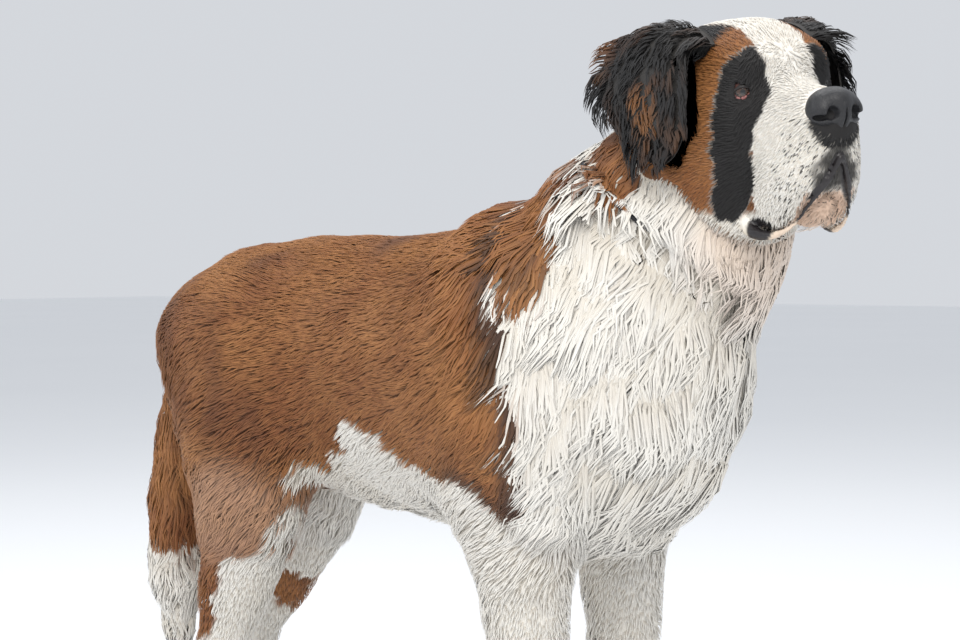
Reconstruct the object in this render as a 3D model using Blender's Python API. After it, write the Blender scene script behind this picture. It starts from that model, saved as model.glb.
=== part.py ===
"""A standing rough-coated Saint Bernard, life size, as a still museum model.

The dog faces +X, its left side is +Y and +Z is up. Flesh is made of rings carried along a path and of
rounded masses, which are fused, smoothed and parted into the dog's named parts with thin cuts. Flat
tapered locks lie along the coat on the ruff, the breeches, the belly, the legs, the ears and the tail.
All places are measured from a point on the floor under the trunk, and at the end the model is moved
so that the origin is on the floor under the middle of its box.
"""

import math
import random

import bmesh
import bpy
import numpy as np
from mathutils import Matrix, Vector
from mathutils.bvhtree import BVHTree

# Sizes of the small parts, in metres.
GAP = 0.0003
EYE_RADIUS = 0.0145
EYE_SHOWS = 0.0050
LID_THICKNESS = 0.0034
EAR_THICKNESS = 0.011
NOSTRIL_PARTS = (
    ((0.196, 0.0150, -0.0180), (0.009, 0.0065, 0.0060), 2),
    ((0.187, 0.0255, -0.0225), (0.010, 0.0060, 0.0028), 1),
)
COLLAR_THICKNESS = 0.0040
COLLAR_STANDS = 0.001
PAW_HEIGHT = 0.074
TOE_SPACING = 0.0255
CLAW_LENGTH = 0.020

# The head's place and turn: it looks to the dog's right, with the left side a little higher.
HEAD_PLACE = Vector((0.454, -0.027, 0.910))
HEAD_TURN = Matrix.Rotation(math.radians(-26.5), 3, "Z") @ Matrix.Rotation(
    math.radians(4.5), 3, "Y") @ Matrix.Rotation(math.radians(5.7), 3, "X")

# Rings along a path: x, y, z, half the width, then the reach above and below the path on the trunk
# and in front of and behind it on a leg or the tail.
TORSO = (
    (-0.385, 0.0, 0.600, 0.050, 0.045, 0.070),
    (-0.370, 0.0, 0.605, 0.085, 0.070, 0.110),
    (-0.335, 0.0, 0.610, 0.120, 0.100, 0.150),
    (-0.270, 0.0, 0.605, 0.143, 0.138, 0.170),
    (-0.180, 0.0, 0.600, 0.150, 0.158, 0.180),
    (-0.060, 0.0, 0.590, 0.155, 0.170, 0.190),
    (0.050, 0.0, 0.580, 0.170, 0.180, 0.200),
    (0.150, 0.0, 0.575, 0.180, 0.190, 0.205),
    (0.250, 0.0, 0.570, 0.172, 0.165, 0.190),
    (0.330, 0.0, 0.570, 0.130, 0.120, 0.150),
    (0.360, 0.0, 0.575, 0.080, 0.080, 0.100),
)
NECK = (
    (0.140, 0.000, 0.600, 0.160, 0.130, 0.180),
    (0.210, 0.000, 0.665, 0.158, 0.130, 0.190),
    (0.280, 0.000, 0.730, 0.145, 0.118, 0.190),
    (0.345, -0.005, 0.800, 0.130, 0.102, 0.175),
    (0.400, -0.012, 0.860, 0.112, 0.092, 0.130),
)
FORELEG = (
    (0.190, 0.0, 0.520, 0.070, 0.090, 0.100),
    (0.205, 0.0, 0.440, 0.067, 0.085, 0.085),
    (0.215, 0.0, 0.380, 0.062, 0.074, 0.073),
    (0.222, 0.0, 0.320, 0.054, 0.057, 0.066),
    (0.225, 0.0, 0.260, 0.049, 0.050, 0.057),
    (0.228, 0.0, 0.180, 0.043, 0.043, 0.048),
    (0.230, 0.0, 0.130, 0.041, 0.041, 0.043),
    (0.236, 0.0, 0.095, 0.041, 0.040, 0.042),
    (0.246, 0.0, 0.055, 0.042, 0.044, 0.042),
)
HINDLEG_RIGHT = (
    (-0.255, 0.010, 0.620, 0.080, 0.125, 0.115),
    (-0.232, 0.005, 0.540, 0.085, 0.127, 0.118),
    (-0.215, 0.0, 0.460, 0.080, 0.105, 0.102),
    (-0.212, 0.0, 0.420, 0.074, 0.093, 0.090),
    (-0.222, 0.0, 0.360, 0.062, 0.070, 0.072),
    (-0.235, 0.0, 0.300, 0.050, 0.054, 0.056),
    (-0.252, 0.0, 0.240, 0.042, 0.039, 0.045),
    (-0.262, 0.0, 0.200, 0.038, 0.034, 0.042),
    (-0.258, 0.0, 0.150, 0.036, 0.033, 0.035),
    (-0.250, 0.0, 0.095, 0.037, 0.035, 0.035),
    (-0.236, 0.0, 0.055, 0.040, 0.044, 0.040),
)
HINDLEG_LEFT = (
    (-0.275, -0.010, 0.620, 0.080, 0.118, 0.110),
    (-0.272, -0.005, 0.540, 0.085, 0.123, 0.115),
    (-0.272, 0.0, 0.460, 0.080, 0.104, 0.098),
    (-0.278, 0.0, 0.420, 0.074, 0.090, 0.088),
    (-0.300, 0.0, 0.360, 0.062, 0.070, 0.070),
    (-0.330, 0.0, 0.300, 0.050, 0.056, 0.055),
    (-0.362, 0.0, 0.240, 0.042, 0.042, 0.045),
    (-0.392, 0.0, 0.195, 0.038, 0.034, 0.042),
    (-0.398, 0.0, 0.150, 0.036, 0.033, 0.035),
    (-0.400, 0.0, 0.095, 0.037, 0.035, 0.035),
    (-0.386, 0.0, 0.055, 0.040, 0.044, 0.040),
)
TAIL = (
    (-0.320, 0.000, 0.700, 0.032, 0.028, 0.032),
    (-0.358, 0.000, 0.665, 0.036, 0.030, 0.036),
    (-0.398, 0.002, 0.600, 0.040, 0.034, 0.040),
    (-0.430, 0.006, 0.510, 0.046, 0.042, 0.046),
    (-0.450, 0.008, 0.400, 0.049, 0.046, 0.049),
    (-0.456, 0.008, 0.300, 0.048, 0.046, 0.048),
    (-0.452, 0.008, 0.220, 0.038, 0.036, 0.038),
    (-0.445, 0.008, 0.150, 0.012, 0.012, 0.012),
)
# Where each leg stands: sideways place of the leg, then the middle of the paw along X.
LEGS = {
    "foreleg_left": (FORELEG, 0.110, 0.262),
    "foreleg_right": (FORELEG, -0.110, 0.262),
    "hindleg_left": (HINDLEG_LEFT, 0.110, -0.365),
    "hindleg_right": (HINDLEG_RIGHT, -0.110, -0.215),
}
# Rounded masses: centre and half sizes. One off the middle is made on both sides.
CHEST_MASSES = (
    ((0.330, 0.000, 0.660), (0.118, 0.130, 0.125)),
    ((0.416, -0.008, 0.742), (0.102, 0.108, 0.098)),
    ((0.265, 0.000, 0.535), (0.105, 0.125, 0.155)),
    ((0.185, 0.100, 0.560), (0.120, 0.072, 0.170)),
)
# Head masses are measured forward, left and up from the middle of the skull.
HEAD_MASSES = (
    ((0.000, 0.000, 0.000), (0.108, 0.095, 0.087)),
    ((0.048, 0.000, 0.024), (0.057, 0.070, 0.056)),
    ((0.068, 0.038, 0.034), (0.032, 0.028, 0.024)),
    ((0.020, 0.054, -0.035), (0.075, 0.040, 0.070)),
    ((0.105, 0.000, -0.030), (0.085, 0.046, 0.044)),
    ((0.150, 0.000, -0.041), (0.038, 0.040, 0.044)),
    ((0.114, 0.034, -0.086), (0.052, 0.022, 0.066)),
    ((0.150, 0.018, -0.072), (0.030, 0.023, 0.042)),
    ((-0.010, 0.000, -0.070), (0.088, 0.078, 0.065)),
)
JAW_MASSES = (
    ((0.062, 0.000, -0.108), (0.082, 0.036, 0.031)),
    ((0.134, 0.000, -0.122), (0.031, 0.027, 0.025)),
)
NOSE_MASSES = (
    ((0.172, 0.000, -0.006), (0.021, 0.027, 0.015)),
    ((0.180, 0.000, -0.016), (0.018, 0.015, 0.022)),
    ((0.174, 0.017, -0.017), (0.020, 0.016, 0.017)),
    ((0.176, 0.000, -0.034), (0.014, 0.008, 0.012)),
)
# The ear's leather, from its root on the skull to its free edge. Each row has a point at the front,
# the middle and the rear. The right ear is the mirror image.
EAR_ROWS = (
    ((0.052, 0.064, 0.058), (0.006, 0.064, 0.074), (-0.045, 0.066, 0.054)),
    ((0.050, 0.090, 0.056), (-0.014, 0.102, 0.074), (-0.090, 0.106, 0.054)),
    ((0.056, 0.106, 0.004), (-0.006, 0.120, 0.006), (-0.112, 0.116, 0.014)),
    ((0.050, 0.110, -0.042), (0.006, 0.118, -0.070), (-0.072, 0.119, -0.022)),
)
# Where the ear's locks grow: a share of the way to the rear, and a share of the way down.
EAR_LOCKS = (
    (0.02, 0.55), (0.16, 0.86), (0.34, 0.98), (0.56, 0.98), (0.76, 0.92), (0.92, 0.72), (0.96, 0.42),
)
EAR_GRID = (7, 8)

# The eyes, lips, collar and the cuts between the parts.
EYE_PLACE = (0.080, 0.0505, 0.006)
EYE_TURN = math.radians(28.0)
LIP_THICKNESS = 0.009
LIP_EDGE = (
    (0.070, 0.050, -0.118),
    (0.090, 0.052, -0.145),
    (0.118, 0.045, -0.156),
    (0.145, 0.036, -0.138),
    (0.165, 0.026, -0.112),
    (0.180, 0.012, -0.088),
    (0.186, 0.002, -0.066),
)
# The long coat. Each row of the ruff: a point inside the neck or chest, how far round to each side
# the row reaches, and its number of locks.
RUFF_ROWS = (
    ((0.375, -0.008, 0.830), 135.0, 9),
    ((0.348, -0.004, 0.772), 135.0, 9),
    ((0.314, 0.000, 0.710), 125.0, 9),
    ((0.280, 0.000, 0.645), 108.0, 9),
    ((0.252, 0.000, 0.580), 90.0, 8),
    ((0.235, 0.000, 0.512), 72.0, 7),
    ((0.226, 0.000, 0.445), 50.0, 5),
)
THROAT_LENGTH = 0.055
RUFF_LENGTH = 0.122
RUFF_WIDTH = 0.058
THROAT_ROW = ((0.420, -0.016, 0.822), 62.0, 5)
RUFF_DEPTH = 0.048
BREECH_HEIGHTS = (0.590, 0.520, 0.450, 0.385, 0.325)
BREECH_LENGTH = 0.105
BREECH_DEPTH = 0.032
BELLY_STATIONS = (0.125, 0.080, 0.035, -0.010, -0.055, -0.100)
BELLY_LENGTH = 0.075
BELLY_DEPTH = 0.022
FEATHER_HEIGHTS = (0.430, 0.365, 0.300, 0.235, 0.170)
FEATHER_LENGTH = 0.070
FEATHER_DEPTH = 0.018
TAIL_DEPTH = 0.55
TAIL_LENGTH = 0.118
EAR_LOCK_LENGTH = 0.046
EAR_LOCK_WIDTH = 0.034
EAR_LOCK_RISE = 0.007
LOCK_WAVE = 0.007
LOCK_SINK = 0.007
LOCK_BACK = 0.004
LOCK_FLATNESS = 0.33
LOCK_CURL = 5.0
LENGTH_SPREAD = (0.85, 1.15)
COLLAR_ROOM = 0.25
BREECH_WIDTH = 0.046
BREECH_FAN = 48.0
BREECH_TURN = 25.0
BELLY_WIDTH = 0.044
BELLY_ASIDE = (0.075, 0.050)
FEATHER_WIDTH = 0.036
FEATHER_FAN = 28.0
TAIL_LOCK_WIDTH = 0.044
TAIL_ROW_SPACING = 0.076
# Each step along a lock: its share of the length, and its share of the rise.
LONG_LOCK = ((0.24, 0.50), (0.28, 0.90), (0.26, 1.00), (0.22, 0.72))
SHORT_LOCK = ((0.34, 0.70), (0.36, 1.00), (0.30, 0.75))
COLLAR_PLACE = (0.345, -0.005, 0.790)
COLLAR_NORMAL = (0.62, -0.02, 0.78)
COLLAR_POINTS = 30
# The spaces that part the legs from the trunk: the front face's place at its top and its foot, the rear
# face, and how high it stands on the inner and the outer side.
FORELEG_SPACE = (0.360, 0.360, 0.080, 0.345, 0.560)
HINDLEG_SPACE = (-0.085, -0.200, -0.620, 0.385, 0.620)
LEG_SPACE_SIDES = (0.004, 0.36)
LEG_SPACE_FOOT = -0.1
# Each lid: how high its arch stands, how its outer half droops, and how far its ends reach.
UPPER_LID = (0.50, 0.08, 1.12)
LOWER_LID = (-0.62, -0.25, 1.03)
# A paw: half its length, the pad of a toe, and a claw's path from its root, its widths and heights.
FOREPAW_HALF = 0.062
HINDPAW_HALF = 0.058
PAW_SIZE = (0.047, 0.044)
TOE_SIZE = (0.034, 0.0150, 0.031)
TOE_ARC = 0.006
CLAW_PATH = ((0.0, 0.0, 0.0), (0.010, 0.0, -0.003), (0.017, 0.0, -0.010), (CLAW_LENGTH, 0.0, -0.019))
CLAW_WIDTHS = (0.009, 0.008, 0.006)
CLAW_HEIGHTS = (0.010, 0.009, 0.006)
HEAD_CUT = ((0.400, -0.012, 0.855), (0.78, -0.20, 0.59))
NECK_CUT = ((0.260, 0.0, 0.710), (0.707, 0.0, 0.707))

# Plain colours and roughness.
FINISHES = {
    "white_coat": ((0.80, 0.76, 0.70), 0.85),
    "rust_coat": ((0.30, 0.11, 0.035), 0.80),
    "black_coat": ((0.030, 0.022, 0.020), 0.75),
    "leather": ((0.020, 0.018, 0.020), 0.45),
    "eye": ((0.050, 0.022, 0.010), 0.08),
    "collar": ((0.035, 0.035, 0.040), 0.40),
}
COLOURS = {
    "torso": "rust_coat",
    "ear_left": "black_coat",
    "ear_right": "black_coat",
    "nose": "leather",
    "eye_left": "eye",
    "eye_right": "eye",
    "collar": "collar",
}

# The exact solver leaves open edges where many locks cross, so all the cuts use the manifold one.
SOLVER = "MANIFOLD"
SIDES = 20
TRUNK_TRIANGLES = 1500
HEAD_TRIANGLES = 1650
JAW_TRIANGLES = 150
NOSE_TRIANGLES = 190
TAIL_TRIANGLES = 200
PAW_TRIANGLES = 400
SHARP_ANGLE = math.radians(40.0)
TRUNK_VOXEL = 0.011
HEAD_VOXEL = 0.006
PAW_VOXEL = 0.0045
NOSE_VOXEL = 0.0028
TAIL_VOXEL = 0.008


def clear_scene():
    """Empty the file."""
    for thing in list(bpy.data.objects):
        bpy.data.objects.remove(thing, do_unlink=True)


def material(name, colour, roughness):
    """A plain Principled finish."""
    made = bpy.data.materials.new(name)
    made.use_nodes = True
    shader = made.node_tree.nodes["Principled BSDF"]
    shader.inputs["Base Color"].default_value = (*colour, 1.0)
    shader.inputs["Roughness"].default_value = roughness
    shader.inputs["Metallic"].default_value = 0.0
    return made


def object_from(shape, name):
    """Put a bmesh into a new object, with its faces pointing out."""
    bmesh.ops.recalc_face_normals(shape, faces=shape.faces)
    mesh = bpy.data.meshes.new(name)
    shape.to_mesh(mesh)
    shape.free()
    made = bpy.data.objects.new(name, mesh)
    bpy.context.scene.collection.objects.link(made)
    return made


def apply_modifiers(thing):
    """Replace the object's mesh by what its modifiers make of it."""
    graph = bpy.context.evaluated_depsgraph_get()
    mesh = bpy.data.meshes.new_from_object(thing.evaluated_get(graph))
    thing.modifiers.clear()
    old = thing.data
    thing.data = mesh
    bpy.data.meshes.remove(old)


def remove(thing):
    """Delete an object and its mesh."""
    mesh = thing.data
    bpy.data.objects.remove(thing, do_unlink=True)
    bpy.data.meshes.remove(mesh)


def copy_of(thing, name):
    """A separate copy of an object and its mesh."""
    made = bpy.data.objects.new(name, thing.data.copy())
    bpy.context.scene.collection.objects.link(made)
    return made


def smooth_rows(rows, spacing):
    """Read rows off a smooth curve through the given ones: a cubic piece between each two."""
    rows = np.array(rows, dtype=float)
    steps = np.linalg.norm(np.diff(rows[:, :3], axis=0), axis=1)
    along = np.concatenate([[0.0], np.cumsum(steps)])
    slopes = np.gradient(rows, along, axis=0)
    wanted = np.linspace(0.0, along[-1], max(3, round(along[-1] / spacing) + 1))
    piece = np.clip(np.searchsorted(along, wanted, side="right") - 1, 0, len(along) - 2)
    width = (along[piece + 1] - along[piece])[:, None]
    t = (wanted - along[piece])[:, None] / width
    start = (2 * t**3 - 3 * t**2 + 1) * rows[piece] + (t**3 - 2 * t**2 + t) * width * slopes[piece]
    end = (3 * t**2 - 2 * t**3) * rows[piece + 1] + (t**3 - t**2) * width * slopes[piece + 1]
    return start + end


def add_tube(shape, rows, sideways=0.0, spacing=0.03):
    """Add a closed tube: an oval ring square to the path at each row, bridged to the next ring."""
    table = smooth_rows(rows, spacing)
    centres = table[:, :3] + (0.0, sideways, 0.0)
    ahead = np.gradient(centres, axis=0)
    ahead /= np.linalg.norm(ahead, axis=1, keepdims=True)
    over = np.cross(ahead, (0.0, 1.0, 0.0))
    over /= np.linalg.norm(over, axis=1, keepdims=True)
    across = np.cross(over, ahead)
    angles = np.arange(SIDES) * math.tau / SIDES
    rings = []
    for row in range(len(table)):
        half, above, below = table[row, 3:]
        ring = []
        for angle in angles:
            lift = math.sin(angle) * (above if math.sin(angle) > 0.0 else below)
            place = centres[row] + math.cos(angle) * half * across[row] + lift * over[row]
            ring.append(shape.verts.new(place))
        rings.append(ring)
    for first, second in zip(rings, rings[1:]):
        for k in range(SIDES):
            n = (k + 1) % SIDES
            shape.faces.new((first[k], first[n], second[n], second[k]))
    for end, turn in ((0, 1.0), (-1, -1.0)):
        ring = rings[end]
        reach = min(table[end, 3:]) * 0.7
        tip = shape.verts.new(centres[end] - turn * reach * ahead[end])
        for k in range(SIDES):
            shape.faces.new((ring[(k + 1) % SIDES], ring[k], tip))


def add_mass(shape, centre, radii, turn=None, detail=3):
    """Add an ellipsoid."""
    frame = Matrix.Translation(centre) @ (turn.to_4x4() if turn else Matrix.Identity(4))
    bmesh.ops.create_icosphere(
        shape, subdivisions=detail, radius=1.0, matrix=frame @ Matrix.Diagonal((*radii, 1.0)))


def mirrored(masses):
    """The masses with those off the middle on both sides."""
    for centre, radii in masses:
        yield centre, radii
        if centre[1] > 0.0:
            yield (centre[0], -centre[1], centre[2]), radii


def head_point(place):
    """A place in the head's own frame, in the dog's."""
    return HEAD_PLACE + HEAD_TURN @ Vector(place)


def add_head_masses(shape, masses, detail=3):
    """Add masses that are given in the head's frame."""
    for centre, radii in mirrored(masses):
        add_mass(shape, head_point(centre), radii, HEAD_TURN, detail)


def melt(shape, name, voxel, passes, triangles):
    """Fuse overlapping forms into one skin, soften the joins and thin the mesh."""
    bmesh.ops.recalc_face_normals(shape, faces=shape.faces)
    made = object_from(shape, name)
    remesh = made.modifiers.new("fuse", "REMESH")
    remesh.mode = "VOXEL"
    remesh.voxel_size = voxel
    soften = made.modifiers.new("soften", "SMOOTH")
    soften.factor = 0.5
    soften.iterations = passes
    apply_modifiers(made)
    count = sum(len(face.vertices) - 2 for face in made.data.polygons)
    thin = made.modifiers.new("thin", "DECIMATE")
    thin.ratio = min(1.0, triangles / count)
    thin.use_collapse_triangulate = True
    apply_modifiers(made)
    return made


def largest_body(thing):
    """Keep only the largest closed surface of a mesh, without points in the middle of its edges."""
    shape = bmesh.new()
    shape.from_mesh(thing.data)
    waiting = set(shape.faces)
    bodies = []
    while waiting:
        seed = waiting.pop()
        body = [seed]
        for face in body:
            for edge in face.edges:
                for other in edge.link_faces:
                    if other in waiting:
                        waiting.remove(other)
                        body.append(other)
        bodies.append(body)
    bodies.sort(key=surface_volume, reverse=True)
    scraps = [face for body in bodies[1:] for face in body]
    bmesh.ops.delete(shape, geom=scraps, context="FACES")
    loose = [vert for vert in shape.verts if not vert.link_faces]
    bmesh.ops.delete(shape, geom=loose, context="VERTS")
    along_edge = [vert for vert in shape.verts if len(vert.link_edges) == 2]
    bmesh.ops.dissolve_verts(shape, verts=along_edge)
    shape.to_mesh(thing.data)
    shape.free()


def surface_volume(faces):
    """The volume inside a closed set of faces, summed over fans from the origin."""
    total = 0.0
    for face in faces:
        first = face.verts[0].co
        for k in range(1, len(face.verts) - 1):
            total += first.dot(face.verts[k].co.cross(face.verts[k + 1].co)) / 6.0
    return total


def boolean(thing, other, operation):
    """Apply one Boolean with another object."""
    cut = thing.modifiers.new("cut", "BOOLEAN")
    cut.operation = operation
    cut.solver = SOLVER
    cut.object = other
    apply_modifiers(thing)


def union_all(thing, pieces):
    """Fuse a list of closed pieces into the object with one union, and drop the pieces."""
    if not pieces:
        return
    group = bpy.data.collections.new("pieces")
    bpy.context.scene.collection.children.link(group)
    for piece in pieces:
        group.objects.link(piece)
    join = thing.modifiers.new("join", "BOOLEAN")
    join.operation = "UNION"
    join.solver = SOLVER
    join.operand_type = "COLLECTION"
    join.collection = group
    apply_modifiers(thing)
    for piece in pieces:
        remove(piece)
    bpy.data.collections.remove(group)
    largest_body(thing)


def swollen(thing, amount):
    """A copy of a mesh whose skin stands out by an amount."""
    made = copy_of(thing, "swollen")
    shape = bmesh.new()
    shape.from_mesh(made.data)
    shape.normal_update()
    places = [vert.co + vert.normal * min(vert.calc_shell_factor(), 3.0) * amount for vert in shape.verts]
    for vert, place in zip(shape.verts, places):
        vert.co = place
    shape.to_mesh(made.data)
    shape.free()
    return made


def clear_of(thing, neighbour, gaps=(GAP,)):
    """Cut an object back from its neighbour by a thin gap, or by several in turn where locks are sharp."""
    for gap in gaps:
        cutter = swollen(neighbour, gap)
        boolean(thing, cutter, "DIFFERENCE")
        remove(cutter)
    largest_body(thing)


def slab(point, normal, depth=1.2, width=1.2):
    """A block whose flat face passes through a point and whose body lies on the normal's side."""
    shape = bmesh.new()
    turn = Vector(normal).to_track_quat("Z", "Y").to_matrix()
    centre = Vector(point) + Vector(normal).normalized() * depth / 2.0
    frame = Matrix.Translation(centre) @ turn.to_4x4()
    bmesh.ops.create_cube(shape, size=1.0, matrix=frame @ Matrix.Diagonal((width, width, depth, 1.0)))
    return object_from(shape, "block")


def block(low, high):
    """A box between two corners."""
    shape = bmesh.new()
    low, high = Vector(low), Vector(high)
    frame = Matrix.Translation((low + high) / 2)
    bmesh.ops.create_cube(shape, size=1.0, matrix=frame @ Matrix.Diagonal((*(high - low), 1.0)))
    return object_from(shape, "block")


def part_off(whole, name, cutter):
    """Take what lies in the cutter as a part, and leave the rest with a thin gap to it."""
    part = copy_of(whole, name)
    boolean(part, cutter, "INTERSECT")
    largest_body(part)
    grown = swollen(cutter, GAP)
    boolean(whole, grown, "DIFFERENCE")
    remove(grown)
    remove(cutter)
    return part


def wedge(corners):
    """The convex block through a set of corners."""
    shape = bmesh.new()
    for corner in corners:
        shape.verts.new(corner)
    bmesh.ops.convex_hull(shape, input=shape.verts)
    return object_from(shape, "block")


def leg_block(side, front_top, front_foot, rear, inner_top, outer_top):
    """The space that holds one leg, from the floor to a face that climbs outwards."""
    inner, outer = (side * place for place in LEG_SPACE_SIDES)
    foot = LEG_SPACE_FOOT
    corners = []
    for y, top in ((inner, inner_top), (outer, outer_top)):
        corners += [(front_foot, y, foot), (rear, y, foot), (front_top, y, top), (rear, y, top)]
    return wedge(corners)


def skin_tree(thing):
    """A search tree over an object's faces."""
    shape = bmesh.new()
    shape.from_mesh(thing.data)
    tree = BVHTree.FromBMesh(shape)
    shape.free()
    return tree


def add_blade(shape, path, outwards, widths, heights, sides=3):
    """Add a closed strand: a flat section square to the path at each point, and a pointed tip."""
    path = [Vector(place) for place in path]
    rings = []
    for k, place in enumerate(path[:-1]):
        ahead = (path[k + 1] - path[max(0, k - 1)]).normalized()
        across = ahead.cross(outwards[k]).normalized()
        over = across.cross(ahead)
        ring = []
        for side in range(sides):
            angle = math.tau * side / sides + math.pi / 2.0
            spread = across * math.cos(angle) * widths[k] / 2.0
            ring.append(shape.verts.new(place + spread + over * math.sin(angle) * heights[k] / 2.0))
        rings.append(ring)
    tip = shape.verts.new(path[-1])
    for first, second in zip(rings, rings[1:]):
        for k in range(sides):
            n = (k + 1) % sides
            shape.faces.new((first[k], first[n], second[n], second[k]))
    for k in range(sides):
        shape.faces.new((rings[-1][k], rings[-1][(k + 1) % sides], tip))
    shape.faces.new(list(reversed(rings[0])))


def grow_lock(skin, root, outward, lie, size, hang, chance, steps=SHORT_LOCK, avoid=None):
    """One flat tapered lock. It starts inside the skin, rises along the coat's lie and bends back.

    size holds its length, its width and how far it rises over the skin.
    """
    length, width, rise = size
    lie = (lie - outward * lie.dot(outward)).normalized()
    path = [root - outward * LOCK_SINK - lie * LOCK_BACK]
    outwards = [outward]
    place = root
    wave = chance.uniform(-1.0, 1.0) * LOCK_WAVE
    curl = chance.uniform(0.0, math.tau)
    for step, height in steps:
        ahead = place + lie * length * step
        hit, normal, _, _ = skin.find_nearest(ahead)
        close = hit + normal * rise * height
        free = ahead + Vector((0.0, 0.0, -1.0)) * length * step * 0.35 + outward * rise * height * 0.3
        curl += step * LOCK_CURL
        across = lie.cross(normal)
        place = close.lerp(free, hang) + across * wave * math.sin(curl)
        if avoid is not None and avoid.find_nearest(place)[3] < width * COLLAR_ROOM:
            return None
        path.append(place)
        outwards.append(normal.lerp(outward, hang).normalized())
        lie = (lie - normal * lie.dot(normal) * (1.0 - hang)).normalized()
        place = hit.lerp(ahead, hang)
    shape = bmesh.new()
    taper = [0.75 + 1.1 * t - 1.3 * t * t for t in (k / len(steps) for k in range(len(steps)))]
    widths = [width * part for part in taper]
    heights = [width * part * LOCK_FLATNESS for part in taper]
    add_blade(shape, path, outwards, widths, heights)
    return object_from(shape, "lock")


def around(skin, centre, reach, count, shift, facing=0.0, slope=0.0):
    """Places on the skin where rays fan out level from a point inside it."""
    for k in range(count):
        angle = math.radians(facing + reach * (2.0 * (k + shift) / (count - 0.5) - 1.0))
        way = Vector((math.cos(angle), math.sin(angle), slope)).normalized()
        hit, normal, _, _ = skin.ray_cast(Vector(centre), way)
        if hit is not None:
            yield angle, hit, normal if normal.dot(way) > 0.0 else -normal


def ruff_row(skin, row, chance, shift, avoid, length=RUFF_LENGTH):
    """One row of the ruff, from side to side round the front."""
    centre, reach, count = row
    for angle, root, outward in around(skin, centre, reach, count, shift):
        lie = Vector((-0.30 * abs(math.sin(angle)), 0.10 * math.sin(angle), -1.0))
        size = (length * chance.uniform(*LENGTH_SPREAD), RUFF_WIDTH, RUFF_DEPTH * 0.5)
        yield grow_lock(skin, root, outward, lie, size, 0.0, chance, LONG_LOCK, avoid)


def breeches(skin, leg, chance):
    """The long coat behind a thigh."""
    rows, sideways, _ = LEGS[leg]
    table = smooth_rows(rows, 0.01)
    facing = 180.0 - math.copysign(BREECH_TURN, sideways)
    for row, height in enumerate(BREECH_HEIGHTS):
        x = float(np.interp(-height, -table[:, 2], table[:, 0]))
        for _, root, outward in around(skin, (x, sideways, height), BREECH_FAN, 3, 0.5 * (row % 2), facing):
            length = BREECH_LENGTH * chance.uniform(*LENGTH_SPREAD) * (0.72 if height < 0.40 else 1.0)
            size = (length, BREECH_WIDTH, BREECH_DEPTH * 0.6)
            yield grow_lock(skin, root, outward, Vector((-0.10, 0.0, -1.0)), size, 0.15, chance)


def belly_fringe(skin, chance):
    """Two rows of locks that hang under the belly."""
    for row, x in enumerate(BELLY_STATIONS):
        for side in (-1.0, 1.0):
            y = side * BELLY_ASIDE[row % 2]
            root, outward, _, _ = skin.ray_cast(Vector((x, y, 0.52)), Vector((0.0, 0.0, -1.0)))
            outward = outward if outward.z < 0.0 else -outward
            size = (BELLY_LENGTH * chance.uniform(*LENGTH_SPREAD), BELLY_WIDTH, BELLY_DEPTH * 0.6)
            yield grow_lock(skin, root, outward, Vector((-1.0, 0.0, -0.5)), size, 0.45, chance)


def leg_feathers(skin, side, chance):
    """The fringe behind a foreleg."""
    for row, height in enumerate(FEATHER_HEIGHTS):
        place = (0.222, side * 0.11, height)
        for _, root, outward in around(skin, place, FEATHER_FAN, 2 - row % 2, 0.25, 180.0):
            size = (FEATHER_LENGTH * chance.uniform(*LENGTH_SPREAD), FEATHER_WIDTH, FEATHER_DEPTH * 0.6)
            yield grow_lock(skin, root, outward, Vector((-0.25, 0.0, -1.0)), size, 0.35, chance)


def trunk_locks(skin, chance, avoid):
    """All the long coat of the trunk and legs."""
    locks = []
    for row, place in enumerate(RUFF_ROWS):
        locks += ruff_row(skin, place, chance, 0.5 * (row % 2), avoid)
    for leg in ("hindleg_left", "hindleg_right"):
        locks += breeches(skin, leg, chance)
    locks += belly_fringe(skin, chance)
    for side in (-1.0, 1.0):
        locks += leg_feathers(skin, side, chance)
    return [lock for lock in locks if lock is not None]


def coat_depth(place, normal):
    """How far the long coat stands over the skin at a place."""
    x, y, z = place
    ruff = smooth_step(x + 0.45 * (z - 0.60), 0.15, 0.27) * smooth_step(z, 0.36, 0.46)
    depth = RUFF_DEPTH * ruff * (1.0 - 0.8 * max(0.0, normal.z))
    rear = max(0.0, -normal.x)
    if x < -0.15:
        depth = max(depth, BREECH_DEPTH * rear * smooth_step(z, 0.28, 0.36) * smooth_step(-z, -0.70, -0.62))
    if abs(x) < 0.24 and z < 0.50:
        depth = max(depth, BELLY_DEPTH * max(0.0, -normal.z) * smooth_step(z, 0.34, 0.38))
    if x > 0.10 and z < 0.46:
        depth = max(depth, FEATHER_DEPTH * rear * smooth_step(z, 0.12, 0.18))
    return depth


def smooth_step(value, low, high):
    """Rise smoothly from 0 to 1 between two values."""
    t = min(1.0, max(0.0, (value - low) / (high - low)))
    return t * t * (3.0 - 2.0 * t)


def sink_skin(thing, depth_at):
    """Draw the skin in by half the coat's depth, to leave room for the locks."""
    shape = bmesh.new()
    shape.from_mesh(thing.data)
    shape.normal_update()
    places = [vert.co - vert.normal * depth_at(vert.co, vert.normal) * 0.5 for vert in shape.verts]
    for vert, place in zip(shape.verts, places):
        vert.co = place
    shape.to_mesh(thing.data)
    shape.free()


def throat_depth(place, normal):
    """How far the ruff stands over the skin on the head's neck end."""
    reach = (place - Vector(HEAD_CUT[0])).dot(Vector(HEAD_CUT[1]).normalized())
    return RUFF_DEPTH * (1.0 - smooth_step(reach, 0.0, 0.045)) * (1.0 - 0.8 * max(0.0, normal.z))


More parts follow.
